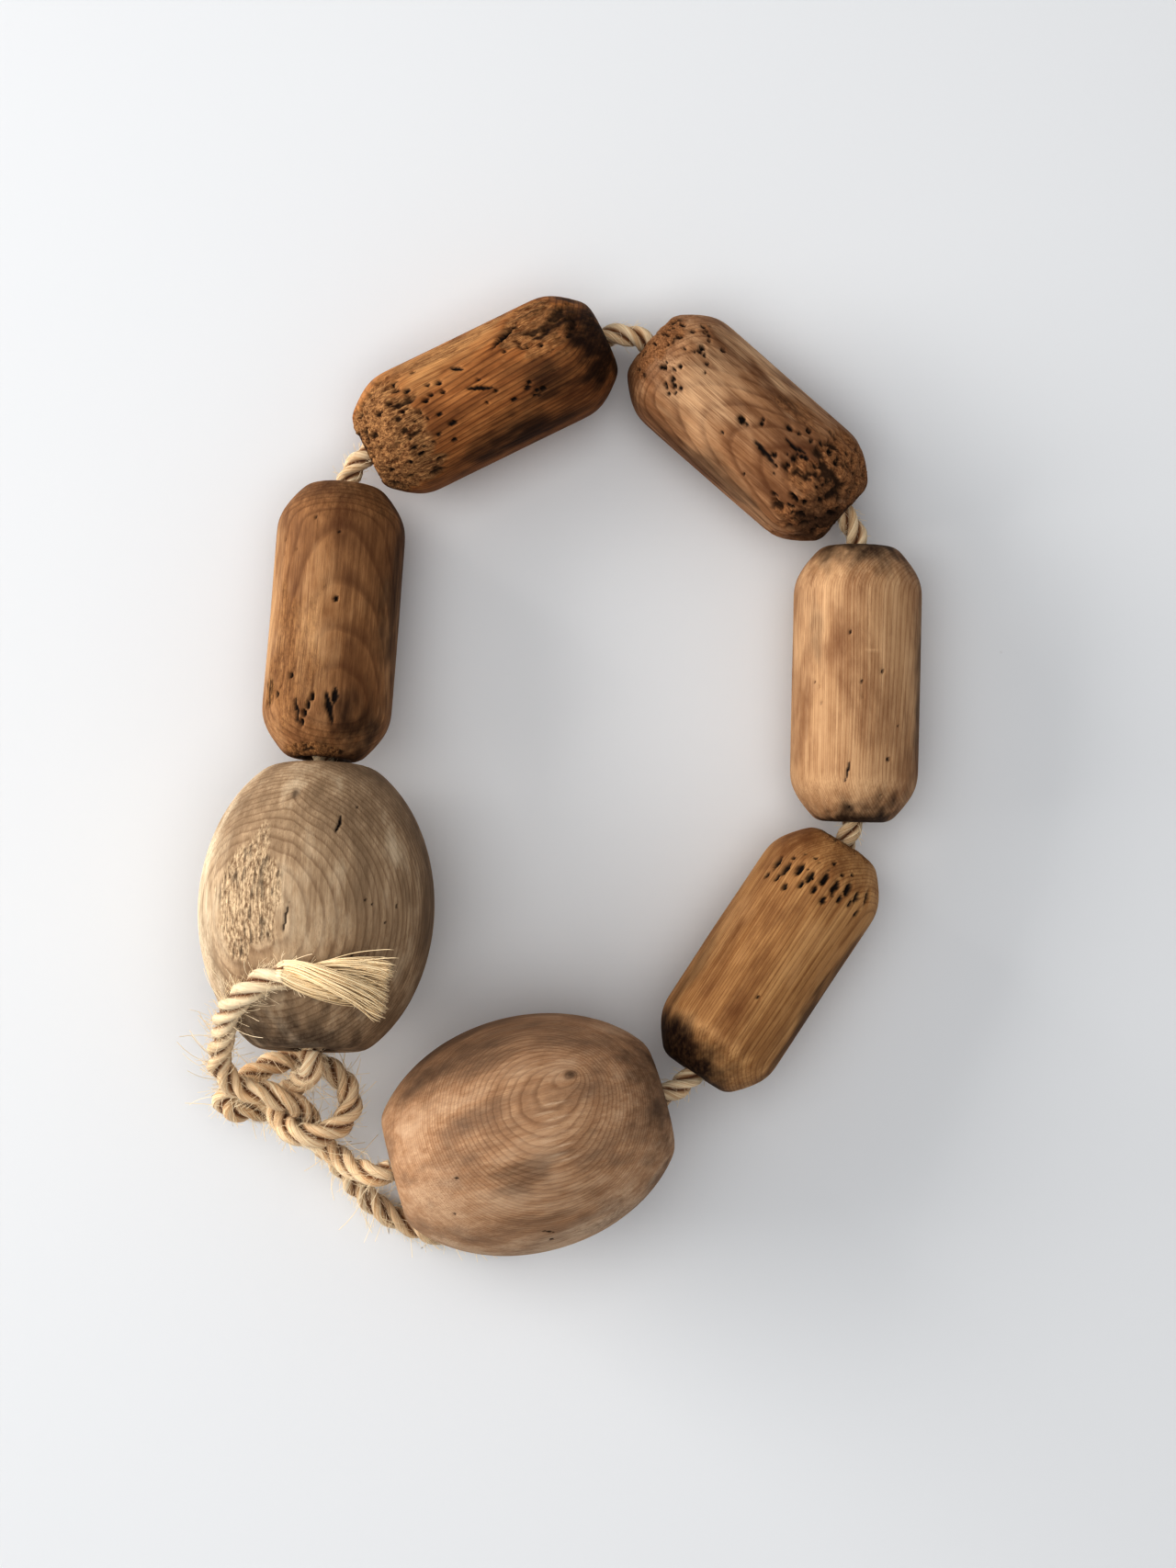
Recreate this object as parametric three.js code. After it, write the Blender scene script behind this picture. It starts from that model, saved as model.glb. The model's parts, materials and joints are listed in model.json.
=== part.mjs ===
// A string of seven turned wooden net floats on a three-strand rope: five chamfered cylinders and two
// egg-shaped floats, threaded on one rope whose ends are knotted together between the eggs. Millimetres,
// +Z up. The string lies on the plane z = 0, and the origin is the middle of the floats' box, on that plane.

import * as THREE from "three";

// ---- Driving dimensions -------------------------------------------------------------------------------

const ROPE_DIAMETER = 12.5;
const BORE_CLEARANCE = 7.5; // how much wider a bore is than the rope
const MOUTH_FLARE = 3.2; // how much a worn bore mouth widens, on the radius
const MOUTH_DEPTH = 7;
const CORD_GAP = 0.3; // between the faces of two rope solids
const EXIT_STRAIGHT = 3; // how far a rope end leaves its bore before it turns
const LIE_GAP = 1.4; // between a rope and what it lies on

const CYLINDER_RADIUS = 38;
const CYLINDER_FACE_RADIUS = 21.6;
const SHOULDER_LENGTH = 28; // how far a cylinder's rounded shoulder runs along its axis

const EGG_RADIUS = 68;
const EGG_FACE_RADIUS = 30.5;

const CYLINDER_SIDES = 28;
const EGG_SIDES = 32;
const ROPE_SIDES = 10;
const SHOULDER_STEPS = 3;
const EGG_STEPS = 10;

// The floats in order along the rope, from the knot round to the knot again. heading is the direction of
// the axis in plan and rise is how steeply it climbs, both along the rope, in degrees. slack is the rope
// between a float and the next one beyond what it takes for the nearest edges of their faces to touch.
const FLOATS = [
  { name: "egg_float_left", egg: true, length: 164, heading: 89, rise: -10, slack: 2.2, color: 0x9a7f63 },
  { name: "float_left", egg: false, length: 163, heading: 86.2, rise: -6, slack: 1.6, color: 0xa06f43 },
  { name: "float_top_left", egg: false, length: 156, heading: 27, rise: 0, slack: 3.2, color: 0x87552f },
  { name: "float_top_right", egg: false, length: 153, heading: -40.8, rise: 0, slack: 2, color: 0x7d5230 },
  { name: "float_right", egg: false, length: 163, heading: -91.5, rise: 0, slack: 2, color: 0xa77a50 },
  { name: "float_bottom_right", egg: false, length: 161, heading: -124.5, rise: 5, slack: 4, color: 0x9d6c40 },
  { name: "egg_float_bottom", egg: true, length: 161, heading: -166.1, rise: 5, slack: 0, color: 0xa58564 },
];

// From the first float's knot face to the last float's knot face, in plan. The knot fills this opening.
const KNOT_OPENING = new THREE.Vector2(45.7, -69.8);
// From the middle of that opening to the knot's centre, in plan.
const KNOT_OFFSET = new THREE.Vector2(-37.4, 6.9);

// The knot, as centreline points in rope diameters. x and y are from the knot's centre, z from the ground.
const UPPER_END_ROUTE = [
  [3.9, -3.5, 5.85],
  [2.95, -3.3, 5.2],
  [1.95, -2.7, 4.35],
  [1.0, -1.85, 3.9],
  [0.6, -0.85, 4.35],
  [-0.15, -0.2, 5.4],
  [-1.15, 0.2, 5.5],
  [-2.15, 0.35, 5.4],
  [-2.8, 0.9, 5.65],
  [-3.1, 1.7, 6.2],
];
const LOWER_END_ROUTE = [
  [1.15, 1.4, 6.5],
  [0.85, 1.0, 5.75],
  [0.4, 0.65, 4.8],
  [-0.2, 0.05, 4.15],
  [-0.62, -0.75, 4.2],
  [-0.3, -1.4, 4.7],
  [0.4, -1.72, 5.25],
  [1.25, -1.8, 5.4],
  [2.15, -1.5, 5.0],
  [2.75, -0.7, 4.5],
  [2.5, 0.4, 4.15],
  [1.55, 1.2, 3.8],
  [0.4, 1.5, 3.55],
  [-0.8, 1.4, 3.75],
  [-1.7, 0.95, 3.8],
  [-2.45, 0.38, 3.85],
  [-3.0, 0.04, 3.76],
  [-3.23, -0.38, 3.6],
  [-3.05, -0.8, 3.36],
  [-2.59, -0.94, 3.16],
  [-2.01, -0.9, 3.0],
  [-1.31, -1.0, 2.84],
  [-0.43, -1.34, 2.72],
  [0.54, -1.98, 2.64],
  [1.42, -2.84, 2.4],
  [2.2, -3.9, 1.8],
  [2.89, -4.98, 1.12],
  [3.85, -5.98, 0.72],
  [5.05, -6.68, 0.58],
  [6.6, -7.2, 0.54],
  [8.4, -7.35, 0.54],
];

// Where the upper end lies on the left egg: [distance along the egg from its knot face, degrees round the
// egg from its top, to the right].
const LIE_ON_EGG = [
  [13, -70],
  [20, -52],
  [27.5, -36],
  [36, -20],
  [40, -7],
];
const TUFT_ON_EGG = [
  [40, -3.9],
  [38.5, 16],
  [37, 37],
];
const TUFT_START_RADIUS = 8;
const TUFT_END_RADIUS = 14.5;
const TUFT_STEPS = 4;

const BORE_RADIUS = (ROPE_DIAMETER + BORE_CLEARANCE) / 2;
const ROPE_RADIUS = ROPE_DIAMETER / 2;

// ---- Float shapes -------------------------------------------------------------------------------------

function eggRadiusAt(along, halfLength) {
  const halfAxis = halfLength / Math.sqrt(1 - (EGG_FACE_RADIUS / EGG_RADIUS) ** 2);
  return EGG_RADIUS * Math.sqrt(1 - (along / halfAxis) ** 2);
}

function eggOutline(halfLength) {
  const outline = [];
  for (let i = 0; i <= EGG_STEPS; i += 1) {
    const along = -halfLength * Math.cos((Math.PI * i) / EGG_STEPS);
    outline.push(new THREE.Vector2(eggRadiusAt(along, halfLength), along));
  }
  return outline;
}

function cylinderOutline(halfLength) {
  const lower = [];
  for (let i = 0; i <= SHOULDER_STEPS; i += 1) {
    const share = i / SHOULDER_STEPS;
    const bulge = Math.sin((Math.PI / 2) * share);
    const radius = CYLINDER_FACE_RADIUS + (CYLINDER_RADIUS - CYLINDER_FACE_RADIUS) * (0.35 * share + 0.65 * bulge);
    lower.push(new THREE.Vector2(radius, -halfLength + SHOULDER_LENGTH * share));
  }
  const upper = lower.map((point) => new THREE.Vector2(point.x, -point.y)).reverse();
  return [...lower, ...upper];
}

function floatGeometry(float) {
  const halfLength = float.length / 2;
  const mouthRadius = BORE_RADIUS + MOUTH_FLARE;
  const bore = [
    new THREE.Vector2(mouthRadius, halfLength),
    new THREE.Vector2(BORE_RADIUS, halfLength - MOUTH_DEPTH),
    new THREE.Vector2(BORE_RADIUS, -halfLength + MOUTH_DEPTH),
    new THREE.Vector2(mouthRadius, -halfLength),
  ];
  const outline = float.egg ? eggOutline(halfLength) : cylinderOutline(halfLength);
  const profile = [...outline, ...bore, outline[0]];
  return new THREE.LatheGeometry(profile, float.egg ? EGG_SIDES : CYLINDER_SIDES);
}

// ---- Layout of the floats along the rope ----------------------------------------------------------------

function axisDirection(heading, rise) {
  const turn = THREE.MathUtils.degToRad(heading);
  const climb = THREE.MathUtils.degToRad(rise);
  return new THREE.Vector3(Math.cos(turn) * Math.cos(climb), Math.sin(turn) * Math.cos(climb), Math.sin(climb));
}

function faceRadius(float) {
  return float.egg ? EGG_FACE_RADIUS : CYLINDER_FACE_RADIUS;
}

// The lengths of rope from a gap's bend back to the float before it and on to the float after it.
function gapLegs(before, after) {
  const bend = axisDirection(before.heading, before.rise).angleTo(axisDirection(after.heading, after.rise));
  const reach = Math.tan(bend / 2);
  return [before, after].map((float) => faceRadius(float) * reach + before.slack / 2);
}

const GAP_LEGS = FLOATS.slice(1).map((after, i) => gapLegs(FLOATS[i], after));
const LEADS = [0, ...GAP_LEGS.map((legs) => legs[1])];
const TRAILS = [...GAP_LEGS.map((legs) => legs[0]), 0];

function linkLength(i) {
  return LEADS[i] + TRAILS[i] + FLOATS[i].length * Math.cos(THREE.MathUtils.degToRad(FLOATS[i].rise));
}

// Turns the headings by the smallest amounts that close the string onto the knot's opening.
function closedHeadings() {
  const headings = FLOATS.map((float) => THREE.MathUtils.degToRad(float.heading));
  for (let round = 0; round < 8; round += 1) {
    const miss = KNOT_OPENING.clone();
    let xx = 0;
    let xy = 0;
    let yy = 0;
    const slopes = FLOATS.map((float, i) => {
      const reach = linkLength(i);
      miss.x -= reach * Math.cos(headings[i]);
      miss.y -= reach * Math.sin(headings[i]);
      const slope = new THREE.Vector2(-reach * Math.sin(headings[i]), reach * Math.cos(headings[i]));
      xx += slope.x * slope.x;
      xy += slope.x * slope.y;
      yy += slope.y * slope.y;
      return slope;
    });
    const spread = xx * yy - xy * xy;
    const pull = new THREE.Vector2((yy * miss.x - xy * miss.y) / spread, (xx * miss.y - xy * miss.x) / spread);
    slopes.forEach((slope, i) => {
      headings[i] += slope.dot(pull);
    });
  }
  return headings.map((heading) => THREE.MathUtils.radToDeg(heading));
}

// Each float's mesh, turned along its axis and resting on the ground, in a group that is centred at the end.
function layOutFloats(group) {
  const headings = closedHeadings();
  const bend = new THREE.Vector2(0, 0);
  return FLOATS.map((float, i) => {
    const direction = axisDirection(headings[i], float.rise);
    const flat = new THREE.Vector2(direction.x, direction.y);
    const reach = flat.clone().normalize();
    const start = bend.clone().addScaledVector(reach, LEADS[i]);
    const middle = start.clone().addScaledVector(flat, float.length / 2);
    const material = new THREE.MeshStandardMaterial({ color: float.color, roughness: 0.75, metalness: 0 });
    const mesh = new THREE.Mesh(floatGeometry(float), material);
    mesh.name = float.name;
    mesh.quaternion.setFromUnitVectors(new THREE.Vector3(0, 1, 0), direction);
    mesh.position.set(middle.x, middle.y, 0);
    mesh.position.z = -new THREE.Box3().setFromObject(mesh, true).min.z;
    group.add(mesh);
    bend.addScaledVector(reach, linkLength(i));
    const half = direction.clone().multiplyScalar(float.length / 2);
    return {
      float,
      lead: LEADS[i],
      trail: TRAILS[i],
      direction,
      firstFace: mesh.position.clone().sub(half),
      lastFace: mesh.position.clone().add(half),
      centre: mesh.position.clone(),
    };
  });
}

// ---- Rope ---------------------------------------------------------------------------------------------

// A smooth route whose steps follow its points, so that the tight bends get the most of them.
class Route extends THREE.CatmullRomCurve3 {
  constructor(points) {
    super(points, false, "centripetal");
  }

  getPointAt(share, target) {
    return this.getPoint(share, target);
  }

  getTangentAt(share, target) {
    return this.getTangent(share, target);
  }
}

function circle(radius) {
  const corners = [];
  for (let i = 0; i < ROPE_SIDES; i += 1) {
    const angle = (2 * Math.PI * i) / ROPE_SIDES;
    corners.push(new THREE.Vector2(radius * Math.cos(angle), radius * Math.sin(angle)));
  }
  return new THREE.Shape(corners);
}

function ropeMesh(name, points, stepsPerPoint) {
  const steps = (points.length - 1) * stepsPerPoint;
  const options = { extrudePath: new Route(points), steps, bevelEnabled: false };
  const material = new THREE.MeshStandardMaterial({ color: 0xcdb083, roughness: 0.9, metalness: 0 });
  const mesh = new THREE.Mesh(new THREE.ExtrudeGeometry(circle(ROPE_RADIUS), options), material);
  mesh.name = name;
  return mesh;
}

// The rope bends from one float's axis to the next one's in a smooth curve that starts inside both mouths.
function gapPoints(before, after) {
  const from = before.lastFace.clone().addScaledVector(before.direction, -MOUTH_DEPTH);
  const to = after.firstFace.clone().addScaledVector(after.direction, MOUTH_DEPTH);
  const fromBend = before.lastFace.clone().addScaledVector(before.direction, before.trail);
  const toBend = after.firstFace.clone().addScaledVector(after.direction, -after.lead);
  const corner = fromBend.add(toBend).multiplyScalar(0.5);
  const curve = new THREE.QuadraticBezierCurve3(from, corner, to);
  return [from, curve.getPoint(1 / 3), curve.getPoint(2 / 3), to];
}

function threadedRope(places) {
  const first = places[0];
  const last = places[places.length - 1];
  const points = [first.firstFace.clone()];
  for (let i = 1; i < places.length; i += 1) {
    points.push(...gapPoints(places[i - 1], places[i]));
  }
  points.push(last.lastFace.clone());
  return ropeMesh("rope_through_floats", points, 1);
}

function knotRoute(route, exit, direction, centre) {
  const start = exit.clone().addScaledVector(direction, CORD_GAP);
  const straight = exit.clone().addScaledVector(direction, EXIT_STRAIGHT);
  const points = route.map(([x, y, z]) => new THREE.Vector3(x, y, z).multiplyScalar(ROPE_DIAMETER));
  points.forEach((point) => point.add(centre));
  return [start, straight, ...points];
}

// A point off the left egg's surface, straight out by the lift.
function offEgg(place, [along, around], lift) {
  const halfLength = place.float.length / 2;
  const station = along - halfLength;
  const radius = eggRadiusAt(station, halfLength);
  const slope = (eggRadiusAt(station + 1, halfLength) - eggRadiusAt(station - 1, halfLength)) / 2;
  const sideways = new THREE.Vector3(place.direction.y, -place.direction.x, 0).normalize();
  const upwards = new THREE.Vector3().crossVectors(sideways, place.direction);
  const angle = THREE.MathUtils.degToRad(around);
  const outwards = sideways.multiplyScalar(Math.sin(angle)).addScaledVector(upwards, Math.cos(angle));
  const point = place.centre.clone().addScaledVector(place.direction, station).addScaledVector(outwards, radius);
  const normal = outwards.clone().addScaledVector(place.direction, -slope).normalize();
  return point.addScaledVector(normal, lift);
}

// The opened strands at the cut end: a tapered solid that widens from the rope, along three points.
function tuftMesh(points) {
  const curve = new Route(points);
  const frames = curve.computeFrenetFrames(TUFT_STEPS);
  const geometry = new THREE.ExtrudeGeometry(circle(1), {
    extrudePath: curve,
    steps: TUFT_STEPS,
    bevelEnabled: false,
  });
  const places = geometry.getAttribute("position");
  const corner = new THREE.Vector3();
  for (let i = 0; i < places.count; i += 1) {
    corner.fromBufferAttribute(places, i);
    let best = 0;
    for (let step = 1; step <= TUFT_STEPS; step += 1) {
      const distance = curve.getPointAt(step / TUFT_STEPS).distanceTo(corner);
      if (distance < curve.getPointAt(best / TUFT_STEPS).distanceTo(corner)) {
        best = step;
      }
    }
    const middle = curve.getPointAt(best / TUFT_STEPS);
    const tangent = frames.tangents[best];
    const spoke = corner.clone().sub(middle);
    spoke.addScaledVector(tangent, -spoke.dot(tangent)).normalize();
    const share = best / TUFT_STEPS;
    const radius = THREE.MathUtils.lerp(TUFT_START_RADIUS, TUFT_END_RADIUS, share);
    corner.copy(middle).addScaledVector(spoke, radius);
    places.setXYZ(i, corner.x, corner.y, corner.z);
  }
  const material = new THREE.MeshStandardMaterial({ color: 0xe0cda2, roughness: 0.95, metalness: 0 });
  const mesh = new THREE.Mesh(geometry, material);
  mesh.name = "rope_frayed_end";
  return mesh;
}

// ---- The whole string -----------------------------------------------------------------------------------

const string = new THREE.Group();
const places = layOutFloats(string);
const floatsBox = new THREE.Box3().setFromObject(string, true);
const firstPlace = places[0];
const lastPlace = places[places.length - 1];

const openingMiddle = firstPlace.firstFace.clone().add(lastPlace.lastFace).multiplyScalar(0.5);
const knotCentre = new THREE.Vector3(openingMiddle.x + KNOT_OFFSET.x, openingMiddle.y + KNOT_OFFSET.y, 0);

string.add(threadedRope(places));

const lowerExit = firstPlace.direction.clone().negate();
const lowerRoute = knotRoute(LOWER_END_ROUTE, firstPlace.firstFace, lowerExit, knotCentre);
string.add(ropeMesh("rope_lower_end", lowerRoute, 2));

const upperRoute = knotRoute(UPPER_END_ROUTE, lastPlace.lastFace, lastPlace.direction, knotCentre);
LIE_ON_EGG.forEach((spot) => upperRoute.push(offEgg(firstPlace, spot, ROPE_RADIUS + LIE_GAP)));
string.add(ropeMesh("rope_upper_end", upperRoute, 2));

const tuftLift = TUFT_START_RADIUS + LIE_GAP;
const tuftGrowth = (TUFT_END_RADIUS - TUFT_START_RADIUS) / (TUFT_ON_EGG.length - 1);
const tuftRoute = TUFT_ON_EGG.map((spot, i) => offEgg(firstPlace, spot, tuftLift + i * tuftGrowth));
string.add(tuftMesh(tuftRoute));

const middle = floatsBox.getCenter(new THREE.Vector3());
string.position.set(-middle.x, -middle.y, 0);

export default string;
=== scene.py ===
"""A string of seven old turned net floats on a three-strand rope, laid in a loop. Every size is in metres,
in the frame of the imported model. Each float has an operator of its own, and one more makes the rope."""

import json
import math

import bpy
import numpy as np
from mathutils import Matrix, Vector


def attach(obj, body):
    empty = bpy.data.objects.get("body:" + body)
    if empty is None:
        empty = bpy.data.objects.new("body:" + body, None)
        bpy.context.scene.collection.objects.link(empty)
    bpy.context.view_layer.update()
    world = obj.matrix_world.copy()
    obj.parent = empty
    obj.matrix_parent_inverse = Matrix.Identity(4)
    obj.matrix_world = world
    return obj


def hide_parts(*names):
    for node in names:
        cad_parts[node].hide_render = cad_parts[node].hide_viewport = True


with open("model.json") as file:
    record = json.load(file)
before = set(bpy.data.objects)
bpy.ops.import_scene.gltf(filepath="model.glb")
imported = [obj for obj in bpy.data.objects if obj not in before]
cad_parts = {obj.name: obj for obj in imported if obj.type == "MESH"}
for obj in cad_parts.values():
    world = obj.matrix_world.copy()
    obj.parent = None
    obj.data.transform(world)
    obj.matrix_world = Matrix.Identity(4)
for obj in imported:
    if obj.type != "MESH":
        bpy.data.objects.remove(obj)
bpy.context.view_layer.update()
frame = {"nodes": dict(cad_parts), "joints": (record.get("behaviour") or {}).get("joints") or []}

bl_info = {
    "name": "Net Float String",
    "version": (1, 0, 0),
    "blender": (4, 5, 0),
    "location": "View3D > Sidebar > Floats",
    "description": "Makes a loop of turned wooden net floats threaded on a knotted rope",
    "category": "Add Mesh",
}

JOINTS = {joint["name"]: joint for joint in frame["joints"]}


# ---- Settings that a user would change -----------------------------------------------------------


def length(name, description, default):
    return bpy.props.FloatProperty(name=name, description=description, default=default, unit="LENGTH")


def number(name, description, default):
    return bpy.props.FloatProperty(name=name, description=description, default=default)


def colour(name, description, default):
    return bpy.props.FloatVectorProperty(
        name=name, description=description, default=default, subtype="COLOR"
    )


class RopeSettings(bpy.types.PropertyGroup):
    """The rope's build."""

    diameter: length("Diameter", "Across the three strands", 0.0125)
    lay: length("Lay", "Length of one full turn of a strand", 0.040)
    strand_radius: length("Strand radius", "Half the thickness of one strand", 0.0031)
    yarns: bpy.props.IntProperty(name="Yarns", description="Ridges round one strand", default=9)
    straw: colour("Straw", "The fibre's main colour", (0.78, 0.48, 0.235))
    bleached: colour("Bleached", "The fibre where it is worn pale", (0.98, 0.83, 0.60))
    cut_end: colour("Cut end", "The clean fibre of the opened end", (0.99, 0.83, 0.57))
    # Painted shade: this colour darkens the fibre deep between the strands, and also draws the fine dark
    # lines between fibres.
    shade_and_dark_fibre: colour("Shade_and_dark_fibre", "The fibre deep between strands", (0.24, 0.095, 0.026))
    hairs_per_metre: bpy.props.IntProperty(
        name="Hairs", description="Loose fibres on a metre of bare rope", default=10500
    )


class FloatSettings(bpy.types.PropertyGroup):
    """How finely the floats are made, and their worn shape."""

    across: length("Cell", "Size of one face of a float's skin", 0.00105)
    edge: length("Worn edge", "How far a shoulder's edges are rounded", 0.019)


class StageSettings(bpy.types.PropertyGroup):
    """The floor, the lights and the camera."""

    floor: colour("Floor", "The pale surface's colour", (0.738, 0.741, 0.748))
    camera_height: length("Camera height", "Above the floor", 1.5)
    lens: number("Lens", "Focal length in millimetres", 57.06)
    window_power: number("Window", "Low light, in watts", 186.0)
    ceiling_power: number("Ceiling", "High light, in watts", 37.0)
    sky: number("Sky", "Strength of the light from all round", 0.46)


class StringSettings(bpy.types.PropertyGroup):
    """All the settings of the string."""

    rope: bpy.props.PointerProperty(type=RopeSettings)
    floats: bpy.props.PointerProperty(type=FloatSettings)
    stage: bpy.props.PointerProperty(type=StageSettings)


def settings():
    return bpy.context.scene.float_string


# ---- Meshes and smooth noise ---------------------------------------------------------------------


def add_object(name, data):
    made = bpy.data.objects.new(name, data)
    bpy.context.scene.collection.objects.link(made)
    return made


def add_mesh(name, points, faces, material, smooth=True):
    """A mesh object from arrays of points and of faces that all have the same number of corners."""
    mesh = bpy.data.meshes.new(name)
    faces = np.asarray(faces, dtype=np.int32)
    mesh.vertices.add(len(points))
    mesh.vertices.foreach_set("co", np.asarray(points, dtype=np.float32).ravel())
    mesh.loops.add(faces.size)
    mesh.loops.foreach_set("vertex_index", faces.ravel())
    mesh.polygons.add(len(faces))
    mesh.polygons.foreach_set("loop_start", np.arange(len(faces), dtype=np.int32) * faces.shape[1])
    mesh.update(calc_edges=True)
    mesh.polygons.foreach_set("use_smooth", np.full(len(faces), smooth))
    mesh.materials.append(material)
    return add_object(name, mesh)


def add_numbers(piece, name, values):
    made = piece.data.attributes.new(name, "FLOAT", "POINT")
    made.data.foreach_set("value", np.asarray(values, dtype=np.float32).ravel())


def add_vectors(piece, name, values):
    made = piece.data.attributes.new(name, "FLOAT_VECTOR", "POINT")
    made.data.foreach_set("vector", np.asarray(values, dtype=np.float32).ravel())


LATTICE = 32
FAR_FROM_ZERO = 1000.0


def noise(points, size, seed):
    """Smooth noise from -1 to 1 at each point, with lumps of a size: a length, or one for each axis."""
    lattice = np.random.default_rng(seed).uniform(-1, 1, (LATTICE, LATTICE, LATTICE))
    scaled = np.asarray(points) / np.asarray(size) + FAR_FROM_ZERO
    cell = np.floor(scaled).astype(int)
    part = scaled - cell
    part = part * part * (3 - 2 * part)
    total = np.zeros(len(scaled))
    for corner in range(8):
        step = np.array([corner & 1, corner >> 1 & 1, corner >> 2 & 1])
        weight = np.prod(np.where(step, part, 1 - part), axis=1)
        spot = (cell + step) % LATTICE
        total += weight * lattice[spot[:, 0], spot[:, 1], spot[:, 2]]
    return total


def rough(points, size, seed, octaves=3):
    """Noise with finer lumps added, from about -1 to 1."""
    total = np.zeros(len(points))
    for octave in range(octaves):
        share = 0.5**octave
        total += share * noise(points, np.asarray(size) * share, seed + octave)
    return total / (2 - 0.5 ** (octaves - 1))


def ease(value):
    """A smooth step from 0 to 1."""
    value = np.clip(value, 0, 1)
    return value * value * (3 - 2 * value)


def ring_faces(rows, columns):
    """Quads of a grid of rows that each close into a ring."""
    row, column = np.meshgrid(np.arange(rows - 1), np.arange(columns), indexing="ij")
    here = row * columns + column
    beside = row * columns + (column + 1) % columns
    return np.stack([here, beside, beside + columns, here + columns], axis=-1).reshape(-1, 4)


# ---- Materials -----------------------------------------------------------------------------------


def new_material(name):
    material = bpy.data.materials.new(name)
    material.use_nodes = True
    tree = material.node_tree
    shader = tree.nodes["Principled BSDF"]
    return material, tree, shader


def add_node(tree, kind, **values):
    node = tree.nodes.new(kind)
    for name, value in values.items():
        if name in node.inputs:
            node.inputs[name].default_value = value
        else:
            setattr(node, name, value)
    return node


def feed(tree, socket, value):
    """Links a socket to another node's output, or sets its number or colour."""
    if hasattr(value, "is_linked"):
        tree.links.new(value, socket)
    elif socket.type == "VALUE":
        socket.default_value = value
    else:
        socket.default_value = (*value, 1.0)


def math_node(tree, operation, first, second=0.0):
    node = add_node(tree, "ShaderNodeMath", operation=operation)
    for socket, value in zip(node.inputs, (first, second)):
        feed(tree, socket, value)
    return node.outputs[0]


def times(tree, first, second):
    return math_node(tree, "MULTIPLY", first, second)


def plus(tree, first, second):
    return math_node(tree, "ADD", first, second)


def mixed(tree, share, first, second):
    """A colour between two colours, or sockets of colour."""
    node = add_node(tree, "ShaderNodeMix", data_type="RGBA")
    for socket, value in ((node.inputs[0], share), (node.inputs[6], first), (node.inputs[7], second)):
        feed(tree, socket, value)
    return node.outputs[2]


def ramp(tree, factor, stops):
    """A colour ramp. Each stop is a place from 0 to 1 and a grey or a colour."""
    node = tree.nodes.new("ShaderNodeValToRGB")
    elements = node.color_ramp.elements
    while len(elements) < len(stops):
        elements.new(0.5)
    for element, (place, value) in zip(elements, stops):
        element.position = place
        element.color = (*value, 1.0) if hasattr(value, "__len__") else (value, value, value, 1.0)
    tree.links.new(factor, node.inputs[0])
    return node.outputs[0]


def stretched_noise(tree, place, scale, detail=4.0, roughness=0.55):
    """Noise on a place, with a scale for each axis."""
    mapping = add_node(tree, "ShaderNodeMapping", Scale=scale)
    tree.links.new(place, mapping.inputs["Vector"])
    node = add_node(tree, "ShaderNodeTexNoise", Scale=1.0, Detail=detail, Roughness=roughness)
    tree.links.new(mapping.outputs[0], node.inputs["Vector"])
    return node.outputs[0]


def attribute(tree, name, output="Fac"):
    return add_node(tree, "ShaderNodeAttribute", attribute_name=name).outputs[output]


def raise_bump(tree, shader, height, strength, distance):
    bump = add_node(tree, "ShaderNodeBump", Strength=strength, Distance=distance)
    tree.links.new(height, bump.inputs["Height"])
    tree.links.new(bump.outputs[0], shader.inputs["Normal"])


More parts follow.
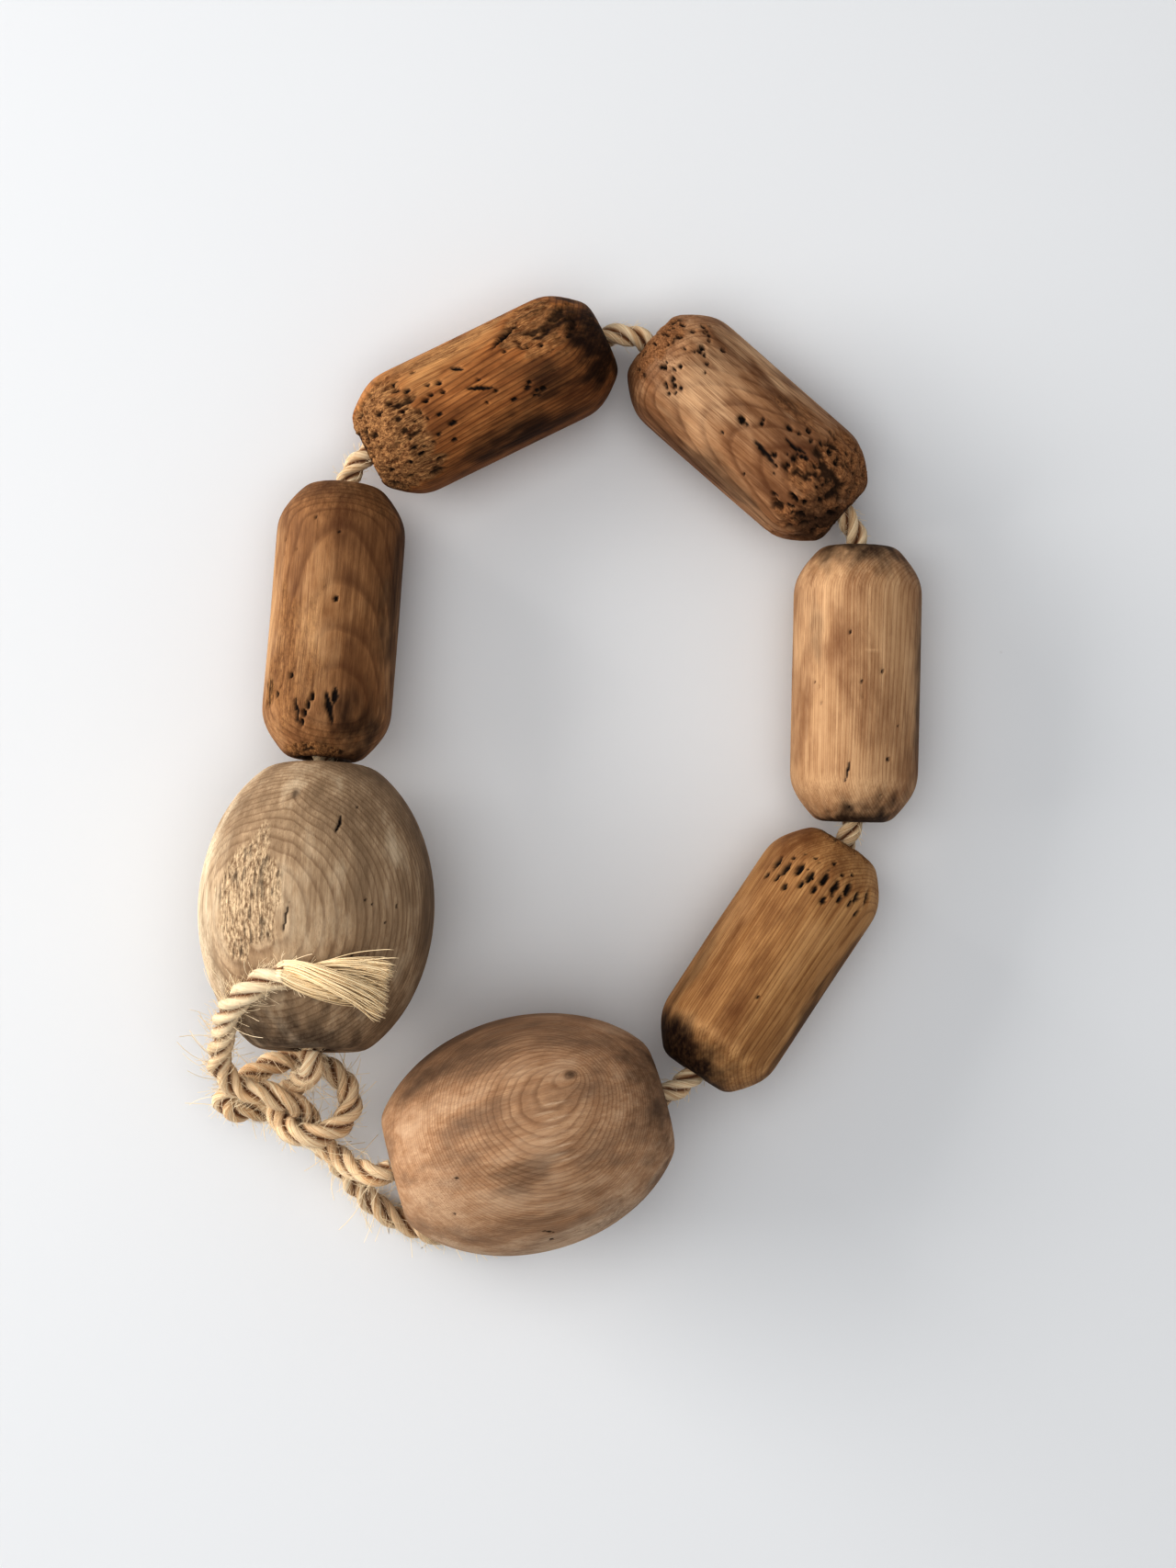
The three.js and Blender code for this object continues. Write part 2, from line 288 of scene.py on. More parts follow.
def wood_material(name, wood):
    """Old turned wood, whose rings, stains, holes and torn places come from the float's attributes, as do
    painted shade along flanks and in hollows, and painted light along flanks.
    """
    material, tree, shader = new_material(name)
    place = attribute(tree, "grain_place", "Vector")
    rings = attribute(tree, "ring_depth")
    stain = attribute(tree, "stain")
    hollow = attribute(tree, "hollow")
    torn = attribute(tree, "torn")
    faded = attribute(tree, "faded")

    waver = stretched_noise(tree, place, (60, 60, 8), 3.0)
    counted = plus(tree, rings, times(tree, waver, wood["waver"]))
    year = math_node(tree, "FRACT", counted)
    late = ramp(tree, year, [(0.0, 0.0), (0.58, 0.14), (0.87, 1.0), (0.95, 0.6), (1.0, 0.0)])
    band = add_node(tree, "ShaderNodeTexNoise", noise_dimensions="1D", Scale=0.55, Detail=2.0)
    tree.links.new(counted, band.inputs["W"])
    fibre = stretched_noise(tree, place, (1500, 1500, 42), 5.0, 0.66)
    streak = stretched_noise(tree, place, (380, 380, 10), 4.0, 0.6)
    blotch = stretched_noise(tree, place, (38, 38, 16), 5.0, 0.62)
    crumbs = stretched_noise(tree, place, (560, 560, 300), 4.0, 0.7)

    body = mixed(tree, ramp(tree, streak, [(0.34, 0.0), (0.66, 1.0)]), wood["pale"], wood["mid"])
    body = mixed(tree, ramp(tree, band.outputs[0], [(0.42, 0.0), (0.68, 0.7)]), body, wood["mid"])
    body = mixed(tree, times(tree, late, wood["contrast"]), body, wood["deep"])
    body = mixed(tree, ramp(tree, fibre, [(0.30, 0.5), (0.48, 0.0)]), body, wood["deep"])
    body = mixed(tree, ramp(tree, blotch, [(0.46, 0.0), (0.70, 0.8)]), body, wood["soil"])
    body = mixed(tree, ramp(tree, blotch, [(0.28, 0.45), (0.47, 0.0)]), body, wood["worn"])
    # Painted light: this share mixes in the pale worn colour both for real worn places and for painted
    # light along one flank of each float.
    worn = times(tree, faded, ramp(tree, fibre, [(0.35, 0.15), (0.6, 1.0)]))
    body = mixed(tree, worn, body, wood["worn"])
    raw = mixed(tree, ramp(tree, crumbs, [(0.33, 0.0), (0.56, 1.0)]), wood["deep"], wood["raw"])
    raw = mixed(tree, ramp(tree, fibre, [(0.36, 0.8), (0.58, 0.0)]), raw, wood["deep"])
    body = mixed(tree, torn, body, raw)
    # Painted shade: this near-black mix carries real stains, burns and knots, and also painted shade along
    # one flank of each float and on the left egg's lower end.
    broken = times(tree, stain, ramp(tree, streak, [(0.3, 0.85), (0.6, 1.0)]))
    body = mixed(tree, broken, body, wood["dark_mark_and_shade"])
    # Painted shade: holes, pits, gouges and sunken torn fibres are painted near black.
    body = mixed(tree, hollow, body, wood["hole"])
    tree.links.new(body, shader.inputs["Base Color"])

    dullness = plus(tree, times(tree, fibre, 0.3), wood["roughness"])
    dullness = plus(tree, dullness, times(tree, torn, 0.25))
    tree.links.new(dullness, shader.inputs["Roughness"])
    shader.inputs["Specular IOR Level"].default_value = 0.16

    pores = stretched_noise(tree, place, (2600, 2600, 420), 3.0, 0.7)
    relief = plus(tree, times(tree, fibre, 0.6), times(tree, pores, 0.3))
    relief = plus(tree, relief, times(tree, late, 0.18))
    broken_up = times(tree, torn, plus(tree, crumbs, fibre))
    relief = plus(tree, relief, times(tree, broken_up, 3.2))
    raise_bump(tree, shader, relief, wood["relief"], 0.0009)
    return material


def rope_material(name, bleached, relief_height=0.0008, sheen=0.12):
    """Twisted natural fibre: pale crests, darker lines between yarns, and painted shade deep between the
    strands.
    """
    rope = settings().rope
    material, tree, shader = new_material(name)
    place = attribute(tree, "fibre_place", "Vector")
    depth = attribute(tree, "depth")
    fibre = stretched_noise(tree, place, (1.1, 1.1, 26), 4.0, 0.7)
    strand = stretched_noise(tree, place, (0.38, 0.38, 15), 4.0, 0.65)
    patch = stretched_noise(tree, place, (0.05, 0.05, 26), 3.0)
    straw, shade_and_dark_fibre = tuple(rope.straw), tuple(rope.shade_and_dark_fibre)
    streaked = tuple(0.55 * channel for channel in straw)
    body = mixed(tree, ramp(tree, fibre, [(0.38, 0.0), (0.60, 1.0)]), straw, bleached)
    body = mixed(tree, ramp(tree, fibre, [(0.27, 0.7), (0.42, 0.0)]), body, shade_and_dark_fibre)
    body = mixed(tree, ramp(tree, strand, [(0.35, 0.75), (0.45, 0.0)]), body, streaked)
    body = mixed(tree, ramp(tree, strand, [(0.50, 0.0), (0.59, 1.0)]), body, bleached)
    body = mixed(tree, ramp(tree, patch, [(0.46, 0.0), (0.72, 0.6)]), body, straw)
    body = mixed(tree, attribute(tree, "bleach"), body, bleached)
    # Painted shade: the depth share darkens the fibre between and inside the strands.
    body = mixed(tree, depth, body, shade_and_dark_fibre)
    tree.links.new(body, shader.inputs["Base Color"])
    shader.inputs["Roughness"].default_value = 0.72
    shader.inputs["Specular IOR Level"].default_value = 0.3
    shader.inputs["Sheen Weight"].default_value = sheen
    shader.inputs["Sheen Roughness"].default_value = 0.5
    relief = plus(tree, times(tree, fibre, 0.7), times(tree, strand, 0.6))
    raise_bump(tree, shader, relief, 1.0, relief_height)
    return material


def hair_material():
    material, tree, shader = new_material("loose_fibre")
    rope = settings().rope
    coordinates = tree.nodes.new("ShaderNodeTexCoord")
    spread = stretched_noise(tree, coordinates.outputs["Object"], (260, 260, 260), 2.0)
    share = ramp(tree, spread, [(0.1, 0.6), (0.4, 1.0)])
    body = mixed(tree, share, tuple(rope.straw), tuple(rope.bleached))
    tree.links.new(body, shader.inputs["Base Color"])
    shader.inputs["Roughness"].default_value = 0.6
    return material


def floor_material():
    material, tree, shader = new_material("pale_floor")
    coordinates = tree.nodes.new("ShaderNodeTexCoord")
    cloud = stretched_noise(tree, coordinates.outputs["Object"], (2.0, 2.0, 2.0), 2.0)
    pale = tuple(settings().stage.floor)
    shade = tuple(channel * 0.985 for channel in pale)
    body = mixed(tree, cloud, pale, shade)
    speck = add_node(tree, "ShaderNodeTexVoronoi", Scale=11.0)
    tree.links.new(coordinates.outputs["Object"], speck.inputs["Vector"])
    grit = ramp(tree, speck.outputs["Distance"], [(0.016, 0.75), (0.030, 0.0)])
    sparse = ramp(tree, speck.outputs["Color"], [(0.62, 0.0), (0.66, 1.0)])
    body = mixed(tree, times(tree, grit, sparse), body, (0.25, 0.21, 0.17))
    tree.links.new(body, shader.inputs["Base Color"])
    shader.inputs["Roughness"].default_value = 0.9
    shader.inputs["Specular IOR Level"].default_value = 0.1
    return material


# ---- The floats ----------------------------------------------------------------------------------

MM = 0.001
BORE_ROWS = 8
SHOULDER = 28 * MM  # From a face to where a cylinder's straight body begins.
MOUTH = 7 * MM  # How far into the bore a mouth flares.


class FloatPlace:
    """Where a float lies and how big it is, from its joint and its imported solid."""

    def __init__(self, node):
        joint = JOINTS[node + "_spin"]
        self.centre = np.array(joint["pos_m"])
        self.along = np.array(joint["axis"])
        self.side = np.cross(self.along, (0.0, 0.0, 1.0))
        self.side /= np.linalg.norm(self.side)
        self.top = np.cross(self.side, self.along)
        solid = frame["nodes"][node]
        corners = np.array([solid.matrix_world @ corner.co for corner in solid.data.vertices])
        corners = corners - self.centre
        station = corners @ self.along
        spoke = np.linalg.norm(corners - station[:, None] * self.along, axis=1)
        self.half = station.max()
        on_face = np.abs(station) > self.half - 0.5 * MM
        self.radius = spoke.max()
        self.face_radius = spoke[on_face].max()
        self.mouth_radius = spoke[on_face].min()
        self.bore_radius = spoke.min()

    def world(self, local):
        """Points from the float's own frame, top, side and along, to the model's frame."""
        return self.centre + local @ np.array([self.top, self.side, self.along])


def resampled(line, spacing):
    """Points at equal spacing along an open line."""
    line = np.asarray(line)
    run = np.concatenate([[0], np.cumsum(np.linalg.norm(np.diff(line, axis=0), axis=1))])
    count = max(2, int(round(run[-1] / spacing)) + 1)
    wanted = np.linspace(0, run[-1], count)
    return np.stack([np.interp(wanted, run, line[:, axis]) for axis in range(line.shape[1])], axis=1)


def rounded(line, window, spacing):
    """A line whose corners are worn round over the window, with its ends kept."""
    fine = resampled(line, spacing)
    reach = int(window / spacing / 2)
    before, after = np.repeat(fine[:1], reach, 0), np.repeat(fine[-1:], reach, 0)
    ends_kept = np.concatenate([before, fine, after])
    weights = np.hanning(2 * reach + 3)[1:-1]
    weights /= weights.sum()
    return np.stack([np.convolve(ends_kept[:, axis], weights, "valid") for axis in range(2)], axis=1)


def cylinder_outline(place):
    """Radius and station from one face's rim to the other's: a straight body between rounded shoulders."""
    share = np.linspace(0, 1, 24)
    swell = np.sin(math.pi / 2 * share)
    radius = place.face_radius + (place.radius - place.face_radius) * swell
    lower = np.stack([radius, -place.half + SHOULDER * share], axis=1)
    upper = (lower * (1, -1))[::-1]
    return np.concatenate([lower, upper])


def egg_outline(place):
    """Radius and station along a cut-off ellipse."""
    half_axis = place.half / math.sqrt(1 - (place.face_radius / place.radius) ** 2)
    station = -place.half * np.cos(np.linspace(0, math.pi, 120))
    return np.stack([place.radius * np.sqrt(1 - (station / half_axis) ** 2), station], axis=1)


def float_skin(place, egg):
    """Rows of radius and station round the closed section, and how many of them are the worn outside."""
    sizes = settings().floats
    outline = egg_outline(place) if egg else cylinder_outline(place)
    rim = np.array([[place.mouth_radius, -place.half]])
    far_rim = rim * (1, -1)
    worn = rounded(np.concatenate([rim, outline, far_rim]), sizes.edge, 0.25 * MM)
    worn = resampled(worn, sizes.across)
    share = np.linspace(0, 1, BORE_ROWS)[:, None]
    flare = place.mouth_radius - place.bore_radius
    narrowing = place.bore_radius + flare * (1 - share) ** 1.6
    down = np.concatenate([narrowing, place.half - MOUTH * share], axis=1)
    bore = np.concatenate([down[1:], (down * (1, -1))[::-1][:-1]])
    return np.concatenate([worn, bore]), len(worn)


class Surface:
    """A float's skin while it is being worn and painted with shade and light: its points, and what has been
    done to them so far.
    """

    def __init__(self, place, egg, seed):
        self.place = place
        self.seed = seed
        rows, self.outer_rows = float_skin(place, egg)
        self.columns = int(round(2 * math.pi * place.radius / settings().floats.across))
        turn = np.arange(self.columns) / self.columns * 2 * math.pi - math.pi
        self.radius = np.repeat(rows[:, 0], self.columns)
        self.station = np.repeat(rows[:, 1], self.columns)
        self.angle = np.tile(turn, len(rows))
        self.row_count = len(rows)
        before, after = np.roll(rows, 1, axis=0), np.roll(rows, -1, axis=0)
        way = after - before
        normal = np.stack([way[:, 1], -way[:, 0]], axis=1)
        normal /= np.linalg.norm(normal, axis=1)[:, None]
        self.normal = np.repeat(normal, self.columns, axis=0)
        self.outer = np.repeat(np.arange(len(rows)) < self.outer_rows, self.columns)
        self.points = self.at(self.radius, self.station)
        self.jagged = rough(self.points, (2.2 * MM, 2.2 * MM, 3.0 * MM), seed + 80, 2)
        self.lift, self.stain, self.hollow, self.torn, self.faded = np.zeros((5, len(self.points)))

    def at(self, radius, station):
        return np.stack([radius * np.cos(self.angle), radius * np.sin(self.angle), station], axis=1)

    def away(self, station, degrees):
        """Distances along and round the surface from a spot on it."""
        turn = (self.angle - math.radians(degrees) + math.pi) % (2 * math.pi) - math.pi
        return self.station - station * MM, turn * self.radius

    def patch(self, station, degrees, length, width, ragged=0.5, seed=0, soft=0.4):
        """From 0 outside to 1 inside an oval patch with an uneven edge that fades over the soft share."""
        along, around = self.away(station, degrees)
        reach = np.hypot(along / (length * MM), around / (width * MM))
        uneven = rough(self.points, (7 * MM, 7 * MM, 16 * MM), self.seed + seed, 3)
        return ease((1 - reach + ragged * uneven) / soft) * self.outer

    def tear(self, *spot, depth=1.0, share=1.0, **options):
        """Breaks the skin in a patch into raised and sunken fibres."""
        mask = self.patch(*spot, **options)
        broken = rough(self.points, (1.3 * MM, 1.3 * MM, 11 * MM), self.seed + 50, 3)
        self.lift -= mask * depth * MM * (0.5 + 0.7 * broken)
        self.torn = np.maximum(self.torn, share * mask)
        # Painted shade: the most sunken fibres are painted near black.
        deep = ease((-broken - 0.05) / 0.4) * mask
        self.hollow = np.maximum(self.hollow, 0.8 * share * deep * min(1.0, depth))

    def eat(self, *spot, depth=3.0, share=0.95, **options):
        """Leaves a patch crumbling and full of pits, as old worm damage does."""
        mask = self.patch(*spot, **options)
        broad = rough(self.points, (7 * MM, 7 * MM, 9 * MM), self.seed + 55, 2)
        pits = rough(self.points, (4.0 * MM, 4.0 * MM, 6.5 * MM), self.seed + 56, 3)
        fine = rough(self.points, (1.7 * MM, 1.7 * MM, 2.6 * MM), self.seed + 57, 1)
        sunk = ease((pits - 0.06 + 0.25 * broad) / 0.30)
        self.lift -= mask * depth * MM * (0.25 + 0.45 * sunk + 0.36 * broad + 0.16 * fine)
        self.torn = np.maximum(self.torn, share * mask)
        # Painted shade: the deepest pits are painted near black.
        self.hollow = np.maximum(self.hollow, 0.8 * mask * ease((sunk - 0.55) / 0.45))

    # Darkens a patch toward the near-black stain colour: used both for real stains and for painted shade.
    def darken(self, *spot, strength=1.0, **options):
        options.setdefault("soft", 1.1)
        self.stain = np.maximum(self.stain, strength * self.patch(*spot, **options))

    # Lightens a patch toward the pale worn colour: used both for real worn places and for painted light.
    def fade(self, *spot, strength=1.0, **options):
        options.setdefault("soft", 1.0)
        self.faded = np.maximum(self.faded, strength * self.patch(*spot, **options))

    def hole(self, station, degrees, radius, depth=2.5, stretch=1.0):
        """A worm hole, longer along the grain by the stretch."""
        along, around = self.away(station, degrees)
        reach = np.hypot(along / stretch, around) / (radius * MM) * (1 + 0.45 * self.jagged)
        near = (reach < 1.35) & self.outer
        share = np.zeros(len(reach))
        share[near] = ease((1.25 - reach[near]) / 0.75)
        self.lift -= depth * MM * share
        # Painted shade: the hole is painted near black as it deepens.
        self.hollow = np.maximum(self.hollow, ease(share * 1.5 - 0.35))

    def holes(self, station, degrees, length, width, count, radii=(0.8, 1.7), stretch=1.6, seed=0):
        """Worm holes strewn over an oval patch."""
        random = np.random.default_rng(self.seed + 900 + seed)
        for _ in range(count):
            reach = math.sqrt(random.uniform(0, 1))
            way = random.uniform(0, 2 * math.pi)
            across = reach * math.sin(way) * width / (self.place.radius / MM)
            self.hole(
                station + reach * math.cos(way) * length,
                degrees + math.degrees(across),
                random.uniform(*radii),
                random.uniform(1.2, 3.2),
                random.uniform(1.0, stretch),
            )

    def gouge(self, station, degrees, length, width, depth=1.4, slant=0.0):
        """A narrow split or chip along the grain, with ragged sides."""
        along, around = self.away(station, degrees)
        wander = rough(self.points, (5 * MM, 5 * MM, 6 * MM), self.seed + 70, 2) * 1.3 * MM
        across = np.abs(around - slant * along + wander) / (width * MM)
        ends = np.clip(1 - (np.abs(along) / (length * MM)) ** 2, 0, 1)
        share = ease(np.clip(ends - across, 0, 1) * 1.7) * self.outer
        self.lift -= depth * MM * share
        # Painted shade: the split is painted near black as it deepens.
        self.hollow = np.maximum(self.hollow, ease(share * 1.6 - 0.3))

    def finished(self):
        """The worn points, in the model's frame. Swell and grain only ever cut inward."""
        swell = (rough(self.points, (45 * MM, 45 * MM, 70 * MM), self.seed + 11, 2) - 1) * 0.4 * MM
        grain = (rough(self.points, (1.6 * MM, 1.6 * MM, 26 * MM), self.seed + 12, 2) - 1) * 0.09 * MM
        lift = (self.lift + swell + grain) * self.outer
        radius = self.radius + self.normal[:, 0] * lift
        station = self.station + self.normal[:, 1] * lift
        return self.place.world(self.at(radius, station))


def growth_rings(surface, wood):
    """How many years out from the pith each point lies, with ovals round each knot."""
    x, y, z = surface.points.T
    pith_x, pith_y = (value * MM for value in wood["pith"])
    lean_x, lean_y = wood["lean"]
    bowed = rough(surface.points, (60 * MM, 60 * MM, 90 * MM), surface.seed + 31, 2) * 1.5 * MM
    distance = np.hypot(x - pith_x - lean_x * z, y - pith_y - lean_y * z) + bowed
    for station, degrees, size, strength in wood.get("knots", ()):
        along, around = surface.away(station, degrees)
        distance += strength * MM * np.exp(-np.hypot(along * 0.75, around) / (size * MM))
    return distance / (wood["ring"] * MM)


def make_float(node, wood, marking, egg=False):
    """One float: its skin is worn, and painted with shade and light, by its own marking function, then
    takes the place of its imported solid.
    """
    place = FloatPlace(node)
    surface = Surface(place, egg, wood["seed"])
    for station, degrees, size, _ in wood.get("knots", ()):
        surface.darken(station, degrees, size * 0.6, size * 0.45, strength=0.75, seed=3)
    marking(surface)
    # Darker towards the bore: the bore and its flared mouths are darkened toward the near-black stain
    # colour, fading out over 4 mm of the end face.
    mouth = ease((place.mouth_radius + 4 * MM - surface.radius) / (4 * MM))
    surface.stain = np.maximum(surface.stain, 0.75 * mouth)
    faces = ring_faces(surface.row_count, surface.columns)
    last = (surface.row_count - 1) * surface.columns
    column = np.arange(surface.columns)
    beside = (column + 1) % surface.columns
    closing = np.stack([last + column, last + beside, beside, column], axis=-1)
    faces = np.concatenate([faces, closing])
    points = surface.finished()
    piece = add_mesh(node + "_wood", points, faces, wood_material(node + "_grain", wood))
    add_vectors(piece, "grain_place", surface.points + wood["seed"] * 0.37)
    add_numbers(piece, "ring_depth", growth_rings(surface, wood))
    add_numbers(piece, "stain", surface.stain)
    add_numbers(piece, "hollow", surface.hollow)
    add_numbers(piece, "torn", surface.torn * (1 - 0.5 * surface.stain))
    add_numbers(piece, "faded", surface.faded)
    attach(piece, node + "_body")
    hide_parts(node)
    return piece


# Wood: pale and mid early wood, deep late wood, soil stains, a near-black for burns, knots and dark stains
# that is also painted shade, worn and raw places with the worn colour also used as painted light, and a
# near-black painted shade in worm holes.
WARM = {
    "pale": (0.43, 0.235, 0.108),
    "mid": (0.262, 0.130, 0.054),
    "deep": (0.100, 0.034, 0.010),
    "soil": (0.100, 0.036, 0.012),
    "worn": (0.62, 0.40, 0.22),
    "raw": (0.50, 0.28, 0.12),
    "dark_mark_and_shade": (0.016, 0.004, 0.001),
    "hole": (0.011, 0.004, 0.002),
    "roughness": 0.48,
    "relief": 0.40,
    "contrast": 0.6,
    "waver": 0.6,
}
DARK = WARM | {
    "pale": (0.56, 0.265, 0.095),
    "mid": (0.335, 0.135, 0.042),
    "deep": (0.085, 0.024, 0.006),
    "soil": (0.075, 0.022, 0.005),
    "worn": (0.60, 0.345, 0.150),
    "raw": (0.56, 0.320, 0.145),
    "relief": 0.5,
}
RUSSET = WARM | {
    "pale": (0.52, 0.305, 0.165),
    "mid": (0.31, 0.155, 0.070),
    "deep": (0.135, 0.050, 0.017),
    "soil": (0.115, 0.042, 0.015),
    "worn": (0.72, 0.49, 0.30),
    "raw": (0.46, 0.240, 0.110),
    "relief": 0.5,
}
HONEY = WARM | {
    "pale": (0.62, 0.410, 0.240),
    "mid": (0.455, 0.272, 0.145),
    "deep": (0.24, 0.102, 0.036),
    "soil": (0.20, 0.085, 0.034),
    "worn": (0.70, 0.47, 0.28),
    "contrast": 0.4,
}
AMBER = WARM | {
    "pale": (0.56, 0.335, 0.150),
    "mid": (0.375, 0.195, 0.076),
    "deep": (0.150, 0.052, 0.014),
    "soil": (0.150, 0.055, 0.016),
    "worn": (0.64, 0.40, 0.20),
    "contrast": 0.45,
}
GREY = WARM | {
    "pale": (0.52, 0.38, 0.25),
    "mid": (0.36, 0.25, 0.155),
    "deep": (0.165, 0.093, 0.047),
    "soil": (0.185, 0.120, 0.070),
    "worn": (0.85, 0.72, 0.54),
    "raw": (0.80, 0.62, 0.42),
    "roughness": 0.54,
    "relief": 0.36,
    "contrast": 0.5,
    "waver": 1.1,
}
TAN = GREY | {
    "pale": (0.56, 0.365, 0.225),
    "mid": (0.41, 0.240, 0.135),
    "deep": (0.215, 0.112, 0.056),
    "soil": (0.175, 0.112, 0.074),
    "worn": (0.70, 0.53, 0.38),
    "contrast": 0.5,
    "waver": 1.3,
}


def marks_left(surface):
    """Cathedral figure above, a scuffed pale patch below, gouges and holes near the egg."""
    surface.tear(-22, -32, 40, 20, depth=0.35, share=0.4, ragged=0.9)
    surface.fade(-14, -16, 48, 18, strength=0.55, ragged=0.9, seed=1)
    # Painted light: the whole left flank made paler.
    surface.fade(0, -76, 92, 24, strength=0.85, ragged=0.6, seed=9)
    surface.tear(-46, -60, 12, 7, depth=1.5, seed=2)
    surface.eat(-79, -14, 5, 24, depth=2.2, seed=5)
    surface.darken(-62, 42, 30, 26, strength=0.8, ragged=0.9, seed=6)
    # Painted shade: the whole right flank darkened.
    surface.darken(10, 76, 90, 28, strength=0.75, ragged=0.7, seed=7)
    surface.darken(76, 0, 14, 40, strength=0.35, ragged=0.7, seed=8)
    surface.hole(8, 6, 1.5, 2.6)
    surface.hole(-37, -30, 1.4, 2.4, 1.3)
    surface.hole(-48, -46, 1.3, 2.2, 1.8)
    for step in range(4):
        surface.hole(-49 - 5.2 * step, -8 - 3.2 * step, 1.6, 2.8, 1.6)
    surface.gouge(-55, 8, 12, 3.0, 2.2, slant=-0.25)
    surface.gouge(-48, 12, 6, 2.2, 1.8)
    surface.gouge(-58, -22, 9, 1.6, 1.8)
    surface.holes(40, -20, 30, 30, 5, (0.4, 0.7), seed=1)


def marks_top_left(surface):
    """Worm-eaten left end, a raw split patch on the upper right, a dark far end, painted shade along the
    underside, and painted light along the upper left flank.
    """
    surface.eat(-64, 6, 25, 54, depth=5.2, ragged=0.8, soft=0.25)
    surface.holes(-44, -5, 24, 34, 26, (0.7, 1.7), 1.8, seed=1)
    surface.tear(38, -38, 24, 18, depth=2.6, share=0.7, ragged=0.9, soft=0.2, seed=3)
    surface.eat(48, -20, 18, 20, depth=3.0, share=0.5, ragged=0.9, soft=0.25, seed=9)
    surface.tear(-8, -58, 46, 12, depth=0.6, share=0.5, ragged=0.7, seed=4)
    surface.gouge(-2, 2, 9, 1.8, 1.6, slant=0.5)
    surface.gouge(-9, -24, 4, 2.2, 1.4, slant=0.5)
    surface.gouge(24, -36, 12, 2.4, 2.6, slant=-0.6)
    surface.holes(20, 8, 26, 18, 12, (0.8, 1.5), 1.8, seed=2)
    surface.darken(72, 10, 32, 60, strength=0.97, ragged=0.6, seed=5, soft=0.8)
    # Painted shade along the underside.
    surface.darken(12, 62, 84, 26, strength=0.95, ragged=0.7, seed=6)
    surface.darken(36, 18, 34, 22, strength=0.8, ragged=0.9, seed=10)
    # Painted light along the upper left flank.
    surface.fade(-14, -50, 62, 24, strength=0.9, ragged=0.7, seed=7)


def marks_top_right(surface):
    """Pitted left end, a dark hole in the middle, a badly eaten dark right end."""
    surface.holes(-54, -6, 20, 28, 44, (0.7, 1.4), 1.5, seed=1)
    surface.eat(-70, 0, 10, 30, depth=2.4, ragged=0.8, seed=2)
    surface.hole(-4, 6, 2.6, 3.4, 1.3)
    surface.eat(60, 0, 26, 58, depth=5.4, ragged=0.8, seed=3, soft=0.25)
    surface.holes(42, 0, 24, 34, 26, (0.8, 1.8), 1.8, seed=4)
    surface.darken(70, 40, 26, 40, strength=0.8, ragged=0.8, seed=5)
    # Painted shade along the whole lower left flank.
    surface.darken(0, 70, 80, 20, strength=0.6, ragged=0.8, seed=9)
    surface.fade(-34, 10, 44, 30, strength=0.8, ragged=0.7, seed=6)
    # Painted light along the upper right flank.
    surface.fade(-10, -62, 66, 26, strength=0.9, ragged=0.8, seed=11)
    surface.tear(20, -36, 24, 9, depth=1.0, share=0.7, ragged=0.8, seed=7)
    surface.gouge(18, 14, 12, 2.0, 1.6, slant=0.1)
    surface.gouge(30, -8, 10, 1.8, 1.6, slant=-0.1)
    surface.holes(14, 10, 26, 22, 12, (0.6, 1.1), 1.8, seed=8)


def marks_right(surface):
    """Smooth and fine-lined, with dark stains at both mouths, a few holes and a pale scratch."""
    surface.darken(-84, 0, 26, 64, strength=0.9, ragged=0.5, seed=1, soft=0.9)
    surface.darken(82, -4, 22, 46, strength=0.95, ragged=0.6, seed=2, soft=0.8)
    surface.darken(-34, 48, 26, 12, strength=0.35, ragged=0.9, seed=3)
    # Painted shade along the whole of one flank.
    surface.darken(0, -76, 90, 26, strength=0.7, ragged=0.6, seed=9)
    surface.holes(20, 5, 58, 30, 10, (0.45, 0.8), 1.6, seed=4)
    surface.hole(44, -26, 1.3, 2.4)
    surface.hole(-28, 12, 1.0, 2.2)
    surface.gouge(52, 12, 7, 1.2, 0.9, slant=0.2)
    surface.fade(58, 0, 7, 60, strength=0.5, ragged=0.7, seed=5)
    # Painted light along the other flank.
    surface.fade(-30, 56, 60, 26, strength=0.75, ragged=0.8, seed=7)
    surface.fade(-18, -8, 0.9, 7, strength=1.0, ragged=0.3, seed=8)


def marks_bottom_right(surface):
    """Straight grain, a row of worm channels near the upper end, a charred lower end, painted shade along
    the lower right flank, and painted light along the upper left flank.
    """
    for step in range(9):
        turn = -44 + 12 * step
        surface.hole(-60 + 1.5 * step + 3 * (step % 2), turn, 2.0, 3.0, 2.4)
        surface.hole(-52 + 1.7 * step + 4 * (step % 3 == 0), turn + 3, 1.5, 2.4, 2.0)
    surface.holes(-58, 4, 12, 34, 12, (0.6, 1.1), 1.5, seed=1)
    surface.darken(86, 44, 40, 70, strength=1.0, ragged=0.35, seed=2, soft=0.8)
    surface.darken(84, 58, 34, 56, strength=1.0, ragged=0.25, seed=9, soft=0.5)
    surface.darken(80, 0, 10, 30, strength=0.6, ragged=0.7, seed=3)
    # Painted shade along the whole lower right flank.
    surface.darken(10, -76, 80, 20, strength=0.65, ragged=0.7, seed=4)
    surface.darken(40, 66, 46, 14, strength=0.4, ragged=0.8, seed=7)
    surface.hole(24, -4, 1.0, 2.0)
    surface.eat(-79, 4, 4, 22, depth=1.6, seed=5)
    surface.fade(56, 22, 6, 40, strength=0.45, ragged=0.8, seed=6)
    # Painted light along the upper left flank.
    surface.fade(0, 62, 60, 14, strength=0.5, ragged=0.8, seed=8)


